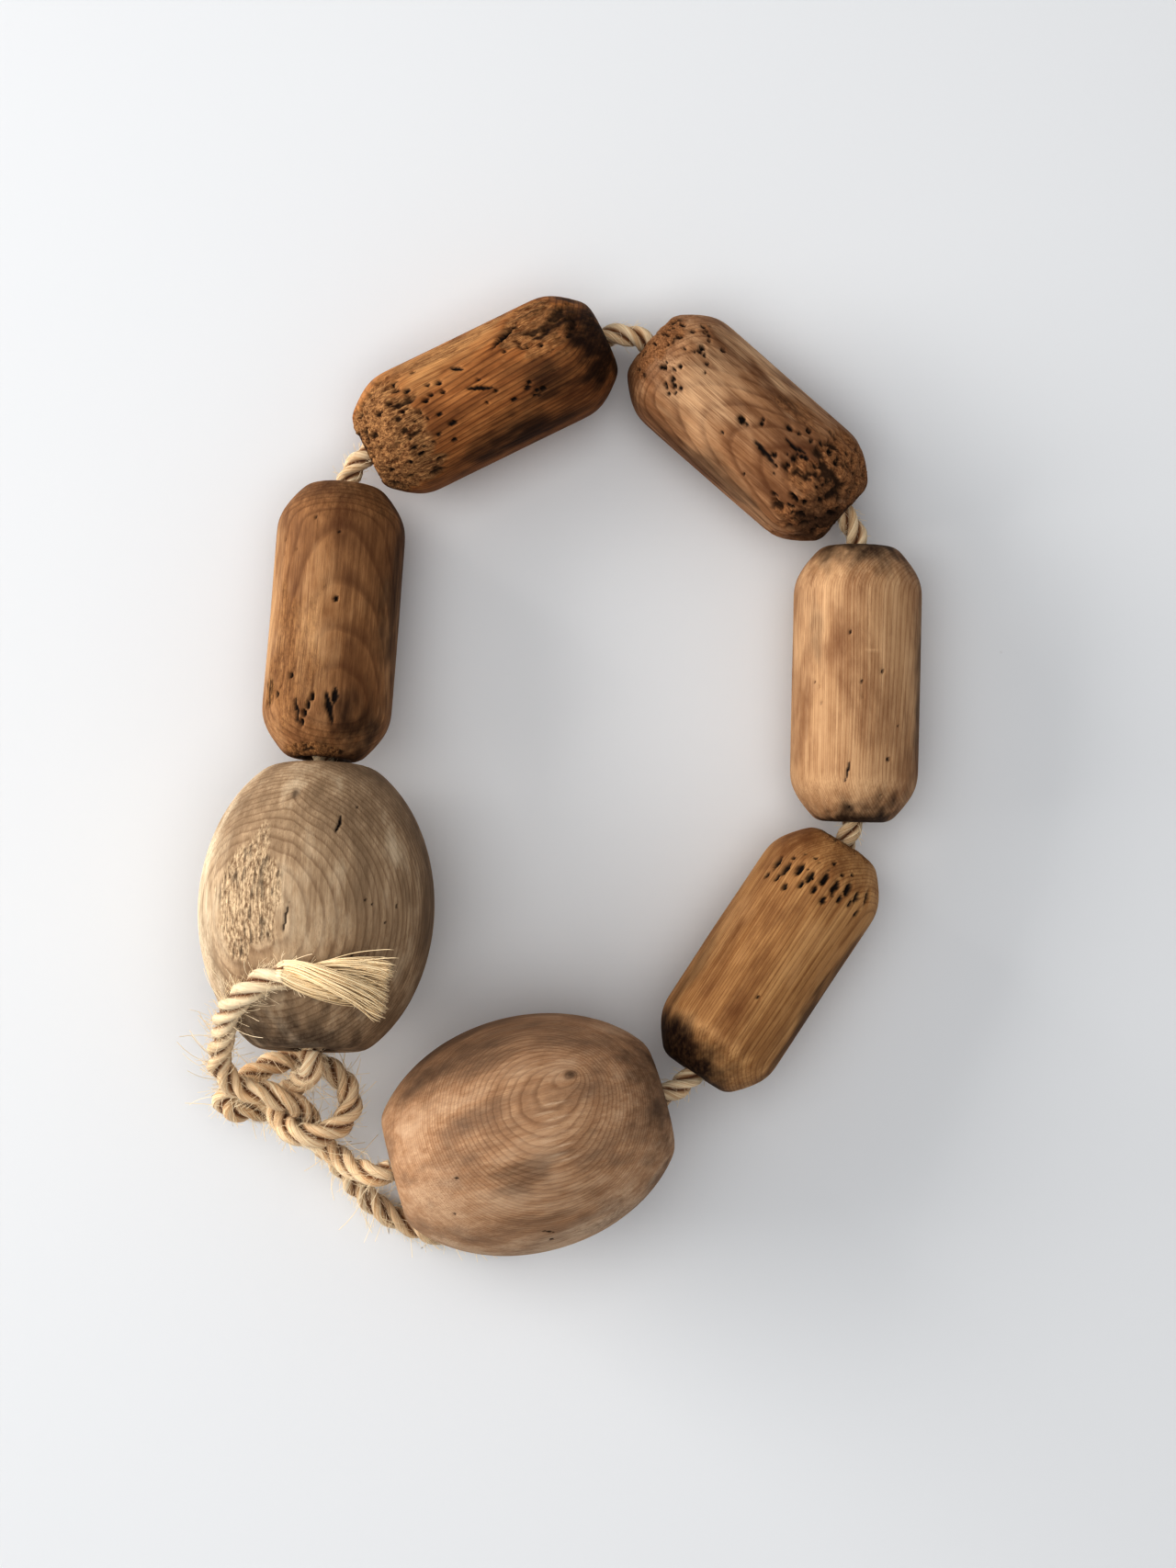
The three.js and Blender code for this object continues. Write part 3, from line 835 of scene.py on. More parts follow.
def marks_left_egg(surface):
    """A big torn fibrous place on the left, checks near the knot, painted light along the left flank,
    painted shade along the right flank, and a painted shadow on the lower end under the rope.
    """
    surface.tear(-2, -29, 35, 23, depth=1.3, share=0.8, ragged=0.4, soft=0.18)
    surface.tear(30, -22, 14, 6, depth=0.6, share=0.6, ragged=0.8, seed=2)
    # Painted light: the whole left flank made pale.
    surface.fade(0, -84, 100, 56, strength=1.0, ragged=0.4, seed=3)
    surface.gouge(-14, -8, 12, 0.9, 0.9, slant=0.2)
    surface.gouge(40, 16, 7, 1.3, 1.0, slant=0.3)
    # Painted shadow: the lower end, under the rope's end and knot, darkened.
    surface.darken(-80, -5, 28, 60, strength=0.7, ragged=0.8, seed=4)
    # Painted shade along the right flank.
    surface.darken(0, 80, 90, 40, strength=0.35, ragged=0.7, seed=6)
    surface.holes(0, 10, 60, 46, 7, (0.45, 0.8), 1.5, seed=5)


def marks_bottom_egg(surface):
    """Smooth, with a dark knot above, grey clouds, a few short checks and pale scratches below the knot."""
    surface.darken(8, -12, 34, 16, strength=0.42, ragged=1.2, seed=1)
    surface.darken(-72, 10, 22, 60, strength=0.5, ragged=0.8, seed=8)
    surface.darken(44, 58, 34, 20, strength=0.35, ragged=0.9, seed=9)
    # Painted light along the lower flank.
    surface.fade(0, -66, 80, 34, strength=0.75, ragged=0.9, seed=10)
    surface.darken(-14, -34, 24, 22, strength=0.30, ragged=1.2, seed=2)
    surface.gouge(4, -48, 4, 0.9, 0.8, slant=0.5)
    surface.hole(3, -56, 1.4, 0.9)
    surface.hole(46, -6, 0.9, 0.9)
    surface.hole(52, -28, 0.7, 0.9)
    for step in range(9):
        station, degrees = -16 + (step % 2) * 6, 18 - 3.4 * step
        surface.fade(station, degrees, 11, 0.7, strength=0.9, ragged=0.3, seed=20 + step)
    surface.fade(58, -20, 24, 32, strength=0.4, ragged=0.8, seed=3)


# ---- The rope ------------------------------------------------------------------------------------

# The route through the seven floats, from the left egg round to the bottom egg.
THREADED_ROUTE = (
    (-0.1441, -0.1597, 0.083),
    (-0.141, -0.0052, 0.0557),
    (-0.1408, 0.001, 0.0541),
    (-0.1405, 0.0071, 0.0525),
    (-0.1402, 0.0131, 0.0512),
    (-0.1298, 0.1609, 0.0356),
    (-0.127, 0.173, 0.0359),
    (-0.1205, 0.1826, 0.0367),
    (-0.1103, 0.1898, 0.038),
    (0.0171, 0.2526, 0.038),
    (0.0305, 0.2565, 0.038),
    (0.0432, 0.2549, 0.038),
    (0.0552, 0.2475, 0.038),
    (0.1597, 0.1559, 0.038),
    (0.1672, 0.1471, 0.038),
    (0.1717, 0.1371, 0.038),
    (0.173, 0.1256, 0.038),
    (0.1696, -0.0234, 0.038),
    (0.1685, -0.0327, 0.037),
    (0.1657, -0.0416, 0.0364),
    (0.1612, -0.0498, 0.036),
    (0.0794, -0.1713, 0.0488),
    (0.0719, -0.1798, 0.0528),
    (0.0621, -0.1863, 0.0569),
    (0.05, -0.1907, 0.0611),
    (-0.0984, -0.2295, 0.0745),
)
# Out of the left egg, down under the other end, round the loop and the bight, and along the floor.
LOWER_ROUTE = (
    (-0.1441, -0.16, 0.0831),
    (-0.1442, -0.1627, 0.0835),
    (-0.1443, -0.1702, 0.0813),
    (-0.148, -0.1752, 0.0719),
    (-0.1537, -0.1796, 0.06),
    (-0.1612, -0.1871, 0.0519),
    (-0.1664, -0.1971, 0.0525),
    (-0.1624, -0.2052, 0.0587),
    (-0.1537, -0.2092, 0.0656),
    (-0.143, -0.2102, 0.0675),
    (-0.1318, -0.2065, 0.0625),
    (-0.1243, -0.1965, 0.0563),
    (-0.1274, -0.1827, 0.0519),
    (-0.1393, -0.1727, 0.0475),
    (-0.1537, -0.169, 0.0444),
    (-0.1687, -0.1702, 0.0469),
    (-0.1799, -0.1759, 0.0475),
    (-0.1893, -0.183, 0.0481),
    (-0.1962, -0.1872, 0.047),
    (-0.199, -0.1925, 0.045),
    (-0.1968, -0.1977, 0.042),
    (-0.191, -0.1995, 0.0395),
    (-0.1838, -0.199, 0.0375),
    (-0.175, -0.2002, 0.0355),
    (-0.164, -0.2045, 0.034),
    (-0.1519, -0.2125, 0.033),
    (-0.1409, -0.2232, 0.03),
    (-0.1312, -0.2365, 0.0225),
    (-0.1225, -0.25, 0.014),
    (-0.1105, -0.2625, 0.009),
    (-0.0955, -0.2712, 0.0072),
    (-0.0762, -0.2777, 0.0067),
    (-0.0537, -0.2796, 0.0067),
)
# Out of the bottom egg, through the knot, and up over the left egg.
UPPER_ROUTE = (
    (-0.0987, -0.2296, 0.0745),
    (-0.1013, -0.2303, 0.0748),
    (-0.1099, -0.2315, 0.0731),
    (-0.1218, -0.229, 0.065),
    (-0.1343, -0.2215, 0.0544),
    (-0.1462, -0.2109, 0.0488),
    (-0.1512, -0.1984, 0.0544),
    (-0.1605, -0.1902, 0.0675),
    (-0.173, -0.1852, 0.0688),
    (-0.1855, -0.1834, 0.0675),
    (-0.1937, -0.1765, 0.0706),
    (-0.1974, -0.1665, 0.0775),
    (-0.1915, -0.1478, 0.0987),
    (-0.1882, -0.1373, 0.1145),
    (-0.1796, -0.1269, 0.1278),
    (-0.1658, -0.1161, 0.1382),
    (-0.1514, -0.1112, 0.1426),
)
# On from there, where the strands have come open.
FRAYED_ROUTE = ((-0.1235, -0.1149, 0.1449), (-0.0988, -0.12, 0.1358))

STRANDS = 3
STRAND_SIDES = 20
FREE_STEP, THREADED_STEP = 0.00095, 0.0016  # Between a strand's rows.
FREE_GIRTH, THREADED_GIRTH = 1.16, 1.08  # Thickness as a share of the rope's own.
UPPER_LAY, LOWER_LAY = 0.050, 0.042
UPPER_SEED, LOWER_SEED, THREADED_SEED = 9, 5, 21
OPEN_LENGTH = 0.066  # Of the cut end, where the strands part.
YARN_SIDES, YARN_ROWS, YARNS_IN_STRAND = 4, 22, 190
HIDDEN_ROWS = 4  # Of the brush, inside the rope's own end.
LOWEST = 0.0002


def smooth_route(points, step):
    """Points at equal steps along a centripetal Catmull-Rom curve through the given ones."""
    points = [np.array(point) for point in points]
    points = [2 * points[0] - points[1], *points, 2 * points[-1] - points[-2]]
    line = []
    for a, b, c, d in zip(points, points[1:], points[2:], points[3:]):
        t1 = np.linalg.norm(b - a) ** 0.5
        t2 = t1 + np.linalg.norm(c - b) ** 0.5
        t3 = t2 + np.linalg.norm(d - c) ** 0.5
        t = np.linspace(t1, t2, 24, endpoint=False)[:, None]
        ab = a + (b - a) * t / t1
        bc = b + (c - b) * (t - t1) / (t2 - t1)
        cd = c + (d - c) * (t - t2) / (t3 - t2)
        left = ab + (bc - ab) * t / t2
        right = bc + (cd - bc) * (t - t1) / (t3 - t1)
        line.extend(left + (right - left) * (t - t1) / (t2 - t1))
    line.append(points[-2])
    return resampled(np.array(line), step)


def frames_along(line):
    """Tangents and two normals at each point, turning as little as they can."""
    tangent = np.gradient(line, axis=0)
    tangent /= np.linalg.norm(tangent, axis=1)[:, None]
    first = np.cross(tangent[0], (0.0, 0.0, 1.0))
    normals = [first / np.linalg.norm(first)]
    for way in tangent[1:]:
        carried = normals[-1] - way * np.dot(normals[-1], way)
        normals.append(carried / np.linalg.norm(carried))
    normal = np.array(normals)
    return tangent, normal, np.cross(tangent, normal)


class Lay:
    """How three strands wind round a line: how far they have turned, how far out they run and how thick
    they are at each of its points. Over the open share of its end the strands part and swell."""

    def __init__(self, line, girth, lay, seed, open_length=0.0):
        rope = settings().rope
        self.line = line
        self.tangent, self.normal, self.other = frames_along(line)
        self.run = np.concatenate([[0], np.cumsum(np.linalg.norm(np.diff(line, axis=0), axis=1))])
        whole = 0 * self.run
        opened = ease((self.run - (self.run[-1] - open_length)) / open_length) if open_length else whole
        place = np.stack([self.run, whole, whole], axis=1)
        pitch = lay * (1 + 0.16 * rough(place, 0.05, seed, 2)) * (1 + 3.2 * opened)
        self.turn = 2 * math.pi * np.concatenate([[0], np.cumsum(np.diff(self.run) / pitch[1:])])
        self.out = girth * (rope.diameter / 2 - rope.strand_radius) * (1 + 1.55 * opened)
        self.thickness = girth * rope.strand_radius * (1 + 0.75 * opened)
        self.place = place
        self.seed = seed
        self.bleach = 0.8 * ease((self.run - self.run[-1] + 0.19) / 0.12) if open_length else whole

    def heart(self, strand):
        """A strand's own middle line, and the turn it has made."""
        turn = self.turn + 2 * math.pi * strand / STRANDS
        loose = 1 + 0.10 * rough(self.place + strand, 0.014, self.seed + strand, 2)
        way = self.normal * np.cos(turn)[:, None] + self.other * np.sin(turn)[:, None]
        return self.line + (self.out * loose)[:, None] * way, turn


def end_fans(base, rows, sides):
    """The triangles that close a tube's two ends on the two points after its rows."""
    column = np.arange(sides)
    beside = (column + 1) % sides
    pole = base + rows * sides
    last = base + (rows - 1) * sides
    return [
        np.stack([base + beside, base + column, np.full_like(column, pole)], axis=1),
        np.stack([last + column, last + beside, np.full_like(column, pole + 1)], axis=1),
    ]


def tube(hearts, radius, normal, other, spin):
    """Rings of points round a line of hearts."""
    out = normal[:, None, :] * np.cos(spin)[:, :, None] + other[:, None, :] * np.sin(spin)[:, :, None]
    return (hearts[:, None, :] + radius[:, :, None] * out).reshape(-1, 3)


def add_fibre_numbers(piece, places, depths, ways, bleach):
    """What the rope's materials and loose fibres read."""
    add_vectors(piece, "fibre_place", places)
    add_numbers(piece, "depth", depths)
    add_vectors(piece, "rope_way", ways)
    add_numbers(piece, "bleach", bleach)


def laid_rope(name, line, seed, girth=1.0, lay=0.0, opening=None):
    """Three twisted strands along a line, each a closed tube ridged by its yarns. The opening is a longer
    line whose strands these are the first part of."""
    rope = settings().rope
    wound = opening or Lay(line, girth, lay or rope.lay, seed)
    count = len(line)
    run, tangent = wound.run[:count], wound.tangent[:count]
    normal, other = wound.normal[:count], wound.other[:count]
    points, faces, places, depths, ways = [], [], [], [], []
    for strand in range(STRANDS):
        heart, turn = (part[:count] for part in wound.heart(strand))
        angle = np.arange(STRAND_SIDES) / STRAND_SIDES * 2 * math.pi
        spin = angle[None, :] + turn[:, None]
        reel = angle[None, :] - 0.45 * turn[:, None]
        yarn = np.cos(rope.yarns * reel)
        along = np.tile(run[:, None], STRAND_SIDES)
        flat = [along, np.cos(reel) * 0.002, np.sin(reel) * 0.002 + strand]
        flat = np.stack(flat, axis=-1).reshape(-1, 3)
        lumps = rough(flat, (0.013, 0.0016, 0.0016), seed + 20, 2).reshape(count, STRAND_SIDES)
        swell = rough(wound.place[:count] + 7 * strand, 0.02, seed + 40 + strand, 2)[:, None]
        radius = wound.thickness[:count, None] * (1 + 0.03 * yarn + 0.12 * lumps + 0.07 * swell)
        base = sum(len(part) for part in points)
        points += [tube(heart, radius, normal, other, spin), heart[[0, -1]]]
        faces += [ring_faces(count, STRAND_SIDES) + base, *end_fans(base, count, STRAND_SIDES)]
        # Painted shade: the inner side of each strand, where the strands press together, and the furrows of
        # its lumps and yarns are darkened; the end points are fully dark.
        inward = ease((0.50 - np.cos(angle)) / 0.95)
        furrow = 0.3 * np.clip(-lumps, 0, 1) + 0.1 * np.clip(-yarn, 0, 1)
        depths += [np.clip(inward[None, :] + furrow, 0, 1).reshape(-1), np.ones(2)]
        place = np.stack([np.cos(reel) * 9 + 40 * strand, np.sin(reel) * 9, along], -1)
        places += [place.reshape(-1, 3), place[[0, -1], 0]]
        ways += [np.repeat(tangent, STRAND_SIDES, axis=0), tangent[[0, -1]]]
    quads = np.concatenate([part for part in faces if part.shape[1] == 4])
    caps = np.concatenate([part for part in faces if part.shape[1] == 3])
    halves = np.concatenate([quads[:, [0, 1, 2]], quads[:, [0, 2, 3]], caps])
    piece = add_mesh(name, np.concatenate(points), halves, bpy.data.materials["laid_rope"])
    places = np.concatenate(places) + seed * 3.1
    row = np.append(np.repeat(np.arange(count), STRAND_SIDES), [0, count - 1])
    bleach = np.tile(wound.bleach[:count][row], STRANDS)
    add_fibre_numbers(piece, places, np.concatenate(depths), np.concatenate(ways), bleach)
    return piece, run[-1]


def hair_tree():
    """Geometry nodes that grow loose bent fibres on a rope."""
    tree = bpy.data.node_groups.new("loose_fibres", "GeometryNodeTree")
    interface = tree.interface
    interface.new_socket("Rope", in_out="INPUT", socket_type="NodeSocketGeometry")
    wanted = (
        ("Density", "NodeSocketFloat", 9000.0),
        ("Hair radius", "NodeSocketFloat", 0.00011),
        ("Shortest", "NodeSocketFloat", 0.2),
        ("Longest", "NodeSocketFloat", 1.15),
        ("Seed", "NodeSocketInt", 3),
        ("Material", "NodeSocketMaterial", None),
    )
    for name, kind, value in wanted:
        socket = interface.new_socket(name, in_out="INPUT", socket_type=kind)
        if value is not None:
            socket.default_value = value
    interface.new_socket("Fibres", in_out="OUTPUT", socket_type="NodeSocketGeometry")
    link = tree.links.new
    given = tree.nodes.new("NodeGroupInput").outputs
    scatter = tree.nodes.new("GeometryNodeDistributePointsOnFaces")
    link(given["Rope"], scatter.inputs["Mesh"])
    link(given["Density"], scatter.inputs["Density"])
    link(given["Seed"], scatter.inputs["Seed"])
    bend = add_node(
        tree,
        "GeometryNodeCurveQuadraticBezier",
        Resolution=4,
        Start=(0.0, 0.0, -0.0004),
        Middle=(0.0, 0.0030, 0.0012),
        End=(0.0008, 0.0066, 0.0010),
    )
    section = add_node(tree, "GeometryNodeCurvePrimitiveCircle", Resolution=3)
    link(given["Hair radius"], section.inputs["Radius"])
    hair = tree.nodes.new("GeometryNodeCurveToMesh")
    link(bend.outputs[0], hair.inputs["Curve"])
    link(section.outputs[0], hair.inputs["Profile Curve"])
    hair.inputs["Fill Caps"].default_value = True
    way = add_node(tree, "GeometryNodeInputNamedAttribute", data_type="FLOAT_VECTOR", Name="rope_way")
    level = add_node(tree, "FunctionNodeAxesToRotation", primary_axis="Z", secondary_axis="Y")
    link(scatter.outputs["Normal"], level.inputs["Primary Axis"])
    link(way.outputs[0], level.inputs["Secondary Axis"])
    stray = add_node(tree, "FunctionNodeRandomValue", data_type="FLOAT_VECTOR")
    stray.inputs[0].default_value = (-0.25, -0.5, -1.3)
    stray.inputs[1].default_value = (0.9, 0.5, 1.3)
    link(given["Seed"], stray.inputs["Seed"])
    spread = add_node(tree, "FunctionNodeRotateRotation", rotation_space="LOCAL")
    link(level.outputs[0], spread.inputs[0])
    link(stray.outputs[0], spread.inputs[1])
    size = add_node(tree, "FunctionNodeRandomValue", data_type="FLOAT")
    link(given["Shortest"], size.inputs[2])
    link(given["Longest"], size.inputs[3])
    link(given["Seed"], size.inputs["Seed"])
    grown = tree.nodes.new("GeometryNodeInstanceOnPoints")
    link(scatter.outputs["Points"], grown.inputs["Points"])
    link(hair.outputs[0], grown.inputs["Instance"])
    link(spread.outputs[0], grown.inputs["Rotation"])
    link(size.outputs[1], grown.inputs["Scale"])
    real = tree.nodes.new("GeometryNodeRealizeInstances")
    link(grown.outputs[0], real.inputs[0])
    painted = tree.nodes.new("GeometryNodeSetMaterial")
    link(real.outputs[0], painted.inputs[0])
    link(given["Material"], painted.inputs["Material"])
    result = tree.nodes.new("NodeGroupOutput")
    link(painted.outputs[0], result.inputs[0])
    return tree


def grow_hairs(rope, name, bare_length, seed, share=1.0, stray=False):
    """Loose fibres on a rope, or a few long strays, as one plain mesh that rides on the rope's body."""
    tree = bpy.data.node_groups.get("loose_fibres") or hair_tree()
    source = add_object(name + "_source", rope.data.copy())
    modifier = source.modifiers.new("fibres", "NODES")
    modifier.node_group = tree
    area = sum(polygon.area for polygon in source.data.polygons)
    wanted = {
        "Density": share * settings().rope.hairs_per_metre * bare_length / area,
        "Seed": seed,
        "Material": bpy.data.materials["loose_fibre"],
    }
    if stray:
        wanted.update({"Hair radius": 0.00006, "Shortest": 1.4, "Longest": 3.6})
    for item in tree.interface.items_tree:
        if item.in_out == "INPUT" and item.name in wanted:
            modifier[item.identifier] = wanted[item.name]
    graph = bpy.context.evaluated_depsgraph_get()
    mesh = bpy.data.meshes.new_from_object(source.evaluated_get(graph))
    mesh.name = name
    piece = add_object(name, mesh)
    source.modifiers.remove(modifier)
    bpy.data.objects.remove(source)
    keep_above_floor(piece)
    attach(piece, "rope")
    return piece


def keep_above_floor(piece):
    """Lays anything that would reach under the floor on it."""
    count = len(piece.data.vertices)
    places = np.empty(count * 3, dtype=np.float32)
    piece.data.vertices.foreach_get("co", places)
    places = places.reshape(-1, 3)
    places[:, 2] = np.maximum(places[:, 2], LOWEST)
    piece.data.vertices.foreach_set("co", places.ravel())
    piece.data.update()


def make_frayed_end(wound, start):
    """The cut end, where the three strands have opened into brushes of yarns."""
    random = np.random.default_rng(77)
    sides, rows = YARN_SIDES, YARN_ROWS
    first = start - HIDDEN_ROWS
    run = wound.run[first:] - wound.run[first]
    share = run / run[-1]
    steps = np.linspace(0, len(run) - 1, rows)
    low = np.minimum(steps.astype(int), len(run) - 2)
    part = (steps - low)[:, None]

    def at(values):
        return values[low] * (1 - part) + values[low + 1] * part

    ring = np.arange(sides) / sides * 2 * math.pi
    rings = np.tile(ring, (rows, 1))
    points, faces, places, depths, ways = [], [], [], [], []
    normal, other, tangent = (at(ways_of[first:]) for ways_of in (wound.normal, wound.other, wound.tangent))
    grown = at(share[:, None])[:, 0]
    for strand in range(STRANDS):
        heart, _ = wound.heart(strand)
        heart = at(heart[first:])
        thickness = at(wound.thickness[first:, None])[:, 0]
        for _ in range(YARNS_IN_STRAND):
            reach = math.sqrt(random.uniform(0, 1))
            spot = random.uniform(0, 2 * math.pi)
            twist = spot + 0.9 * grown
            bulk = thickness * reach * (0.96 + 0.34 * grown)
            phase = random.uniform(0, 2 * math.pi)
            wave = 0.0013 * np.sin(grown * random.uniform(5, 14) + phase) * grown
            wild = 4.0 if random.uniform(0, 1) < 0.10 else 1.0
            stray = wild * random.normal(0, 0.0009, 2) * grown[:, None] ** 2
            across = bulk * np.cos(twist) + wave + stray[:, 0]
            upward = bulk * np.sin(twist) + wave + stray[:, 1]
            path = heart + normal * across[:, None] + other * upward[:, None]
            path = path + tangent * (grown**6 * random.normal(0, 0.0011))[:, None]
            thick = random.uniform(0.00026, 0.00052) * (1 - 0.3 * grown)
            base = sum(len(made) for made in points)
            points += [tube(path, thick[:, None], normal, other, rings), path[[0, -1]]]
            quads = ring_faces(rows, sides) + base
            faces += [quads[:, [0, 1, 2]], quads[:, [0, 2, 3]], *end_fans(base, rows, sides)]
            tone = random.uniform(0, 40)
            along = np.tile(grown[:, None] * 0.05, sides)
            place = np.stack([np.cos(rings) + tone, np.sin(rings), along], -1).reshape(-1, 3)
            places += [place, place[[0, -1]]]
            # Painted shade: yarns deep inside a strand are darker; some yarns are duller at random, and
            # each yarn darkens at its tip.
            dull = random.choice((0.0, 0.0, 0.12, 0.35))
            shade = 0.4 * np.repeat((0.3 - 0.3 * reach + dull) * (1 - 0.4 * grown), sides)
            shade = np.maximum(shade, 0.30 * np.repeat(ease((grown - 0.93) / 0.07), sides))
            depths += [shade, shade[[0, -1]]]
            ways += [np.repeat(tangent, sides, axis=0), tangent[[0, -1]]]
    material = bpy.data.materials["opened_rope"]
    piece = add_mesh("frayed_strands", np.concatenate(points), np.concatenate(faces), material)
    bleach = np.full(len(piece.data.vertices), 0.75)
    add_fibre_numbers(piece, np.concatenate(places), np.concatenate(depths), np.concatenate(ways), bleach)
    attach(piece, "rope")
    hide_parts("rope_frayed_end")
    return piece


# ---- Operators -----------------------------------------------------------------------------------

FLOOR_REACH = 9.0
WINDOW_PLACE, WINDOW_SIZE = (-3.2, 0.85, 0.72), 2.8
CEILING_PLACE, CEILING_SIZE = (-0.2, -0.1, 2.4), 2.6
LIT_PLACE = (0.0, 0.0, 0.05)
CAMERA_X, CAMERA_Y = 0.0138, -0.0076
GAMMA = 0.74


class FLOATSTRING_OT_stage(bpy.types.Operator):
    """Make the pale floor, the soft lights and the camera"""

    bl_idname = "floatstring.stage"
    bl_label = "Stage"

    def execute(self, context):
        stage = settings().stage
        corners = [(x * FLOOR_REACH, y * FLOOR_REACH, 0.0) for x, y in ((-1, -1), (1, -1), (1, 1), (-1, 1))]
        floor = add_mesh("floor", corners, [(0, 1, 2, 3)], floor_material(), smooth=False)
        self.add_light("window", WINDOW_PLACE, WINDOW_SIZE, stage.window_power, (1.0, 0.99, 0.97))
        warm = (1.0, 0.995, 0.985)
        self.add_light("ceiling", CEILING_PLACE, CEILING_SIZE, stage.ceiling_power, warm)
        world = bpy.data.worlds.new("sky")
        context.scene.world = world
        world.use_nodes = True
        background = world.node_tree.nodes["Background"]
        background.inputs["Color"].default_value = (0.93, 0.96, 1.0, 1.0)
        background.inputs["Strength"].default_value = stage.sky
        camera = bpy.data.cameras.new("camera")
        camera.lens = stage.lens
        holder = add_object("camera", camera)
        holder.location = (CAMERA_X, CAMERA_Y, stage.camera_height)
        context.scene.camera = holder
        context.scene.view_settings.view_transform = "Standard"
        context.scene.view_settings.gamma = GAMMA
        return {"FINISHED"}

    def add_light(self, name, place, size, power, colour):
        """A square soft light aimed at the middle of the string."""
        light = bpy.data.lights.new(name, "AREA")
        light.size = size
        light.energy = power
        light.color = colour
        holder = add_object(name, light)
        holder.location = place
        aim = Vector(LIT_PLACE) - Vector(place)
        holder.rotation_euler = aim.to_track_quat("-Z", "Y").to_euler()


class FLOATSTRING_OT_rope(bpy.types.Operator):
    """Make the rope: its two free ends, the frayed cut end and the stretch through the floats"""

    bl_idname = "floatstring.rope"
    bl_label = "Rope"

    def execute(self, context):
        rope = settings().rope
        rope_material("laid_rope", tuple(rope.bleached))
        rope_material("opened_rope", tuple(rope.cut_end), relief_height=0.0002, sheen=0.03)
        hair_material()
        upper = smooth_route(UPPER_ROUTE, FREE_STEP)
        opened = smooth_route(UPPER_ROUTE[-1:] + FRAYED_ROUTE, FREE_STEP)
        whole = np.concatenate([upper, opened[1:]])
        wound = Lay(whole, FREE_GIRTH, UPPER_LAY, UPPER_SEED, open_length=OPEN_LENGTH)
        frayed = make_frayed_end(wound, len(upper))
        brush = grow_hairs(frayed, "frayed_hairs", 0.05, 31, share=0.5)
        self.free_end("rope_upper", UPPER_ROUTE, upper, UPPER_SEED, [frayed, brush], opening=wound)
        lower = smooth_route(LOWER_ROUTE, FREE_STEP)
        build = {"girth": FREE_GIRTH, "lay": LOWER_LAY}
        self.free_end("rope_lower", LOWER_ROUTE, lower, LOWER_SEED, [], **build)
        line = smooth_route(THREADED_ROUTE, THREADED_STEP)
        piece, length = laid_rope("rope_threaded", line, THREADED_SEED, girth=THREADED_GIRTH)
        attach(piece, "rope")
        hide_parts("rope_through_floats")
        grow_hairs(piece, "rope_threaded_hairs", length, 22, share=0.5)
        return {"FINISHED"}

    def free_end(self, name, route, line, seed, with_pieces, **look):
        """One free end, with its loose fibres."""
        piece, length = laid_rope(name, line, seed, **look)
        keep_above_floor(piece)
        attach(piece, "rope")
        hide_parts(name + "_end")
        hairs = grow_hairs(piece, name + "_hairs", length, seed)
        strays = grow_hairs(piece, name + "_strays", length, seed + 50, share=0.05, stray=True)


class FLOATSTRING_OT_egg_float_left(bpy.types.Operator):
    """Make the left egg float"""

    bl_idname = "floatstring.egg_float_left"
    bl_label = "Left egg float"

    def execute(self, context):
        wood = GREY | {"seed": 1, "pith": (-60, 28), "lean": (0.12, 0.0), "ring": 2.3}
        wood["knots"] = [(58, -10, 8, 6)]
        make_float("egg_float_left", wood, marks_left_egg, egg=True)
        return {"FINISHED"}


class FLOATSTRING_OT_float_left(bpy.types.Operator):
    """Make the left float"""

    bl_idname = "floatstring.float_left"
    bl_label = "Left float"

    def execute(self, context):
        wood = WARM | {"seed": 2, "pith": (-16, -3), "lean": (0.085, 0.02), "ring": 2.3, "contrast": 0.45}
        make_float("float_left", wood, marks_left)
        return {"FINISHED"}


class FLOATSTRING_OT_float_top_left(bpy.types.Operator):
    """Make the top left float"""

    bl_idname = "floatstring.float_top_left"
    bl_label = "Top left float"

    def execute(self, context):
        wood = DARK | {"seed": 3, "pith": (-14, 40), "lean": (0.05, -0.06), "ring": 2.2}
        make_float("float_top_left", wood, marks_top_left)
        return {"FINISHED"}


class FLOATSTRING_OT_float_top_right(bpy.types.Operator):
    """Make the top right float"""

    bl_idname = "floatstring.float_top_right"
    bl_label = "Top right float"

    def execute(self, context):
        wood = RUSSET | {"seed": 4, "pith": (-30, -10), "lean": (-0.12, 0.03), "ring": 2.2}
        make_float("float_top_right", wood, marks_top_right)
        return {"FINISHED"}


class FLOATSTRING_OT_float_right(bpy.types.Operator):
    """Make the right float"""

    bl_idname = "floatstring.float_right"
    bl_label = "Right float"

    def execute(self, context):
        wood = HONEY | {"seed": 5, "pith": (-8, 34), "lean": (0.03, 0.05), "ring": 1.15}
        make_float("float_right", wood, marks_right)
        return {"FINISHED"}


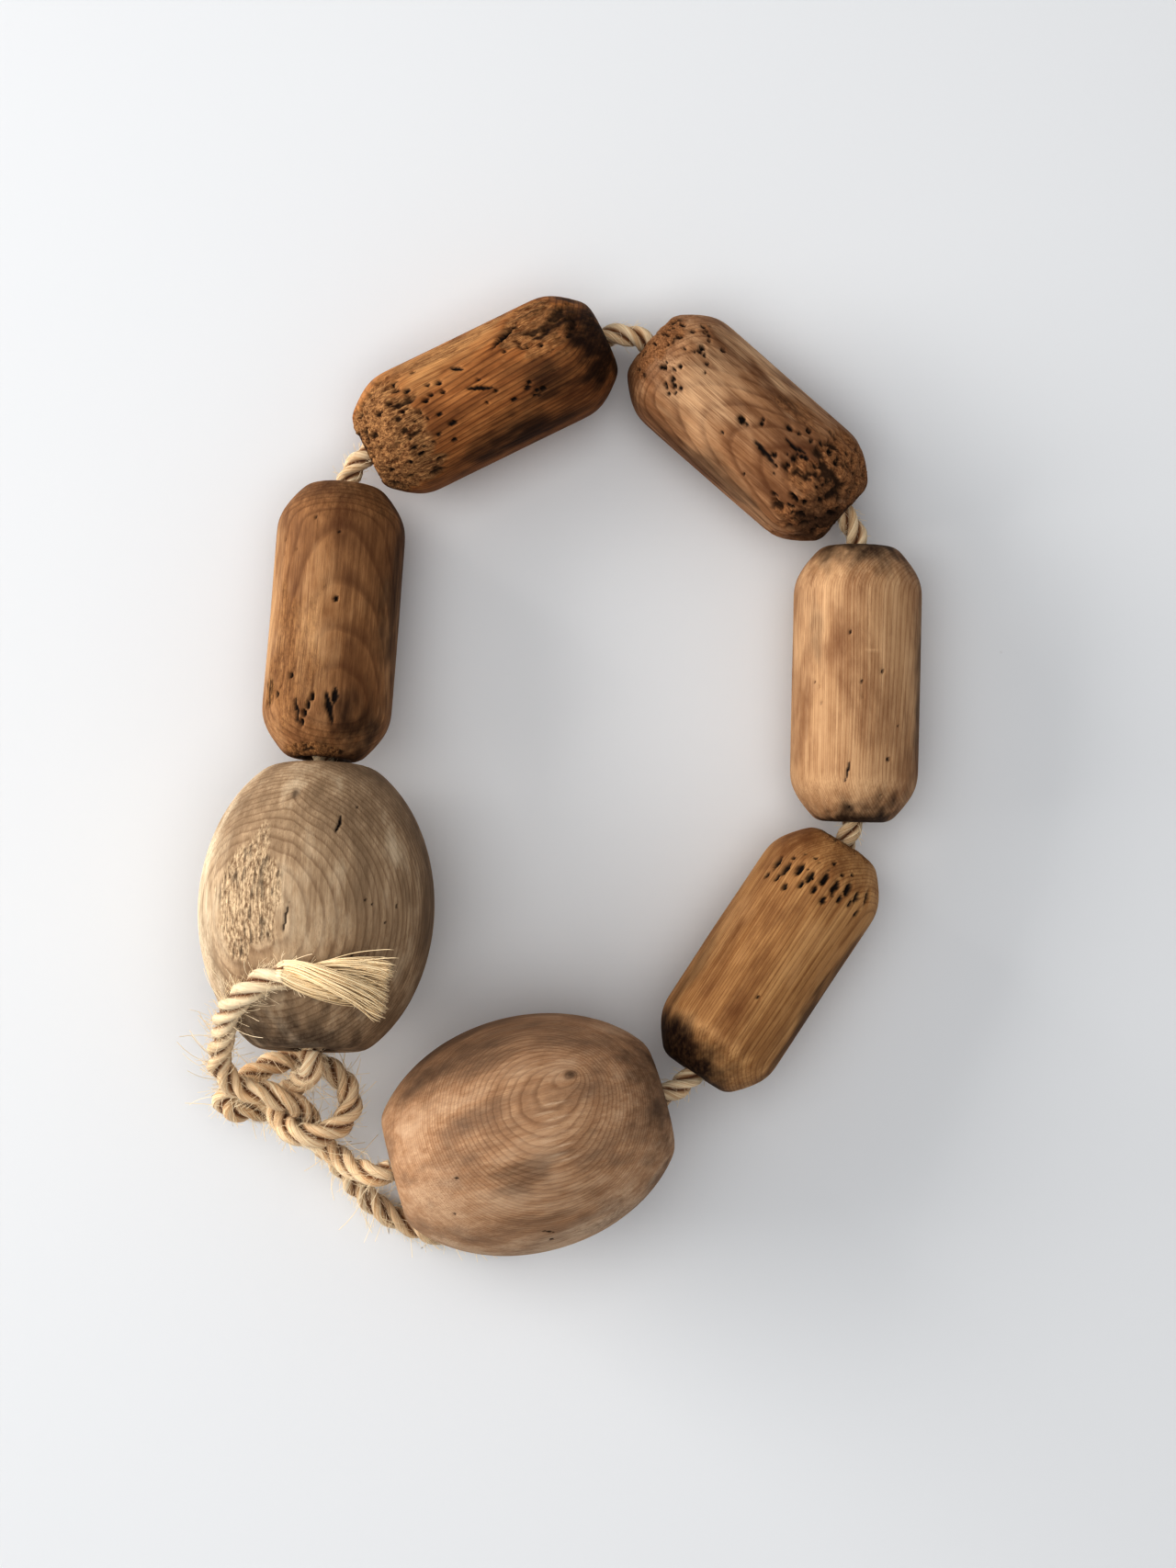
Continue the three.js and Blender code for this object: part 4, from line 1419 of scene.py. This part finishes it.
class FLOATSTRING_OT_float_bottom_right(bpy.types.Operator):
    """Make the bottom right float"""

    bl_idname = "floatstring.float_bottom_right"
    bl_label = "Bottom right float"

    def execute(self, context):
        wood = AMBER | {"seed": 6, "pith": (-14, 36), "lean": (0.015, 0.03), "ring": 1.4}
        make_float("float_bottom_right", wood, marks_bottom_right)
        return {"FINISHED"}


class FLOATSTRING_OT_egg_float_bottom(bpy.types.Operator):
    """Make the bottom egg float"""

    bl_idname = "floatstring.egg_float_bottom"
    bl_label = "Bottom egg float"

    def execute(self, context):
        wood = TAN | {"seed": 7, "pith": (-92, -30), "lean": (0.09, 0.03), "ring": 1.0}
        wood["knots"] = [(-30, 31, 10, 6)]
        make_float("egg_float_bottom", wood, marks_bottom_egg, egg=True)
        return {"FINISHED"}


class FLOATSTRING_PT_panel(bpy.types.Panel):
    """The string's operators and settings"""

    bl_label = "Net Float String"
    bl_idname = "FLOATSTRING_PT_panel"
    bl_space_type = "VIEW_3D"
    bl_region_type = "UI"
    bl_category = "Floats"

    def draw(self, context):
        for group in (settings().rope, settings().floats, settings().stage):
            box = self.layout.box()
            for name in group.bl_rna.properties.keys():
                if name not in ("rna_type", "name"):
                    box.prop(group, name)
        for operator in OPERATORS:
            self.layout.operator(operator.bl_idname)


OPERATORS = (
    FLOATSTRING_OT_stage,
    FLOATSTRING_OT_rope,
    FLOATSTRING_OT_egg_float_left,
    FLOATSTRING_OT_float_left,
    FLOATSTRING_OT_float_top_left,
    FLOATSTRING_OT_float_top_right,
    FLOATSTRING_OT_float_right,
    FLOATSTRING_OT_float_bottom_right,
    FLOATSTRING_OT_egg_float_bottom,
)
GROUPS = (RopeSettings, FloatSettings, StageSettings, StringSettings)


def register():
    for kind in (*GROUPS, *OPERATORS, FLOATSTRING_PT_panel):
        bpy.utils.register_class(kind)
    bpy.types.Scene.float_string = bpy.props.PointerProperty(type=StringSettings)


def unregister():
    del bpy.types.Scene.float_string
    for kind in reversed((*GROUPS, *OPERATORS, FLOATSTRING_PT_panel)):
        bpy.utils.unregister_class(kind)


def main():
    register()
    for operator in OPERATORS:
        group, name = operator.bl_idname.split(".")
        getattr(getattr(bpy.ops, group), name)()


if __name__ == "__main__":
    main()
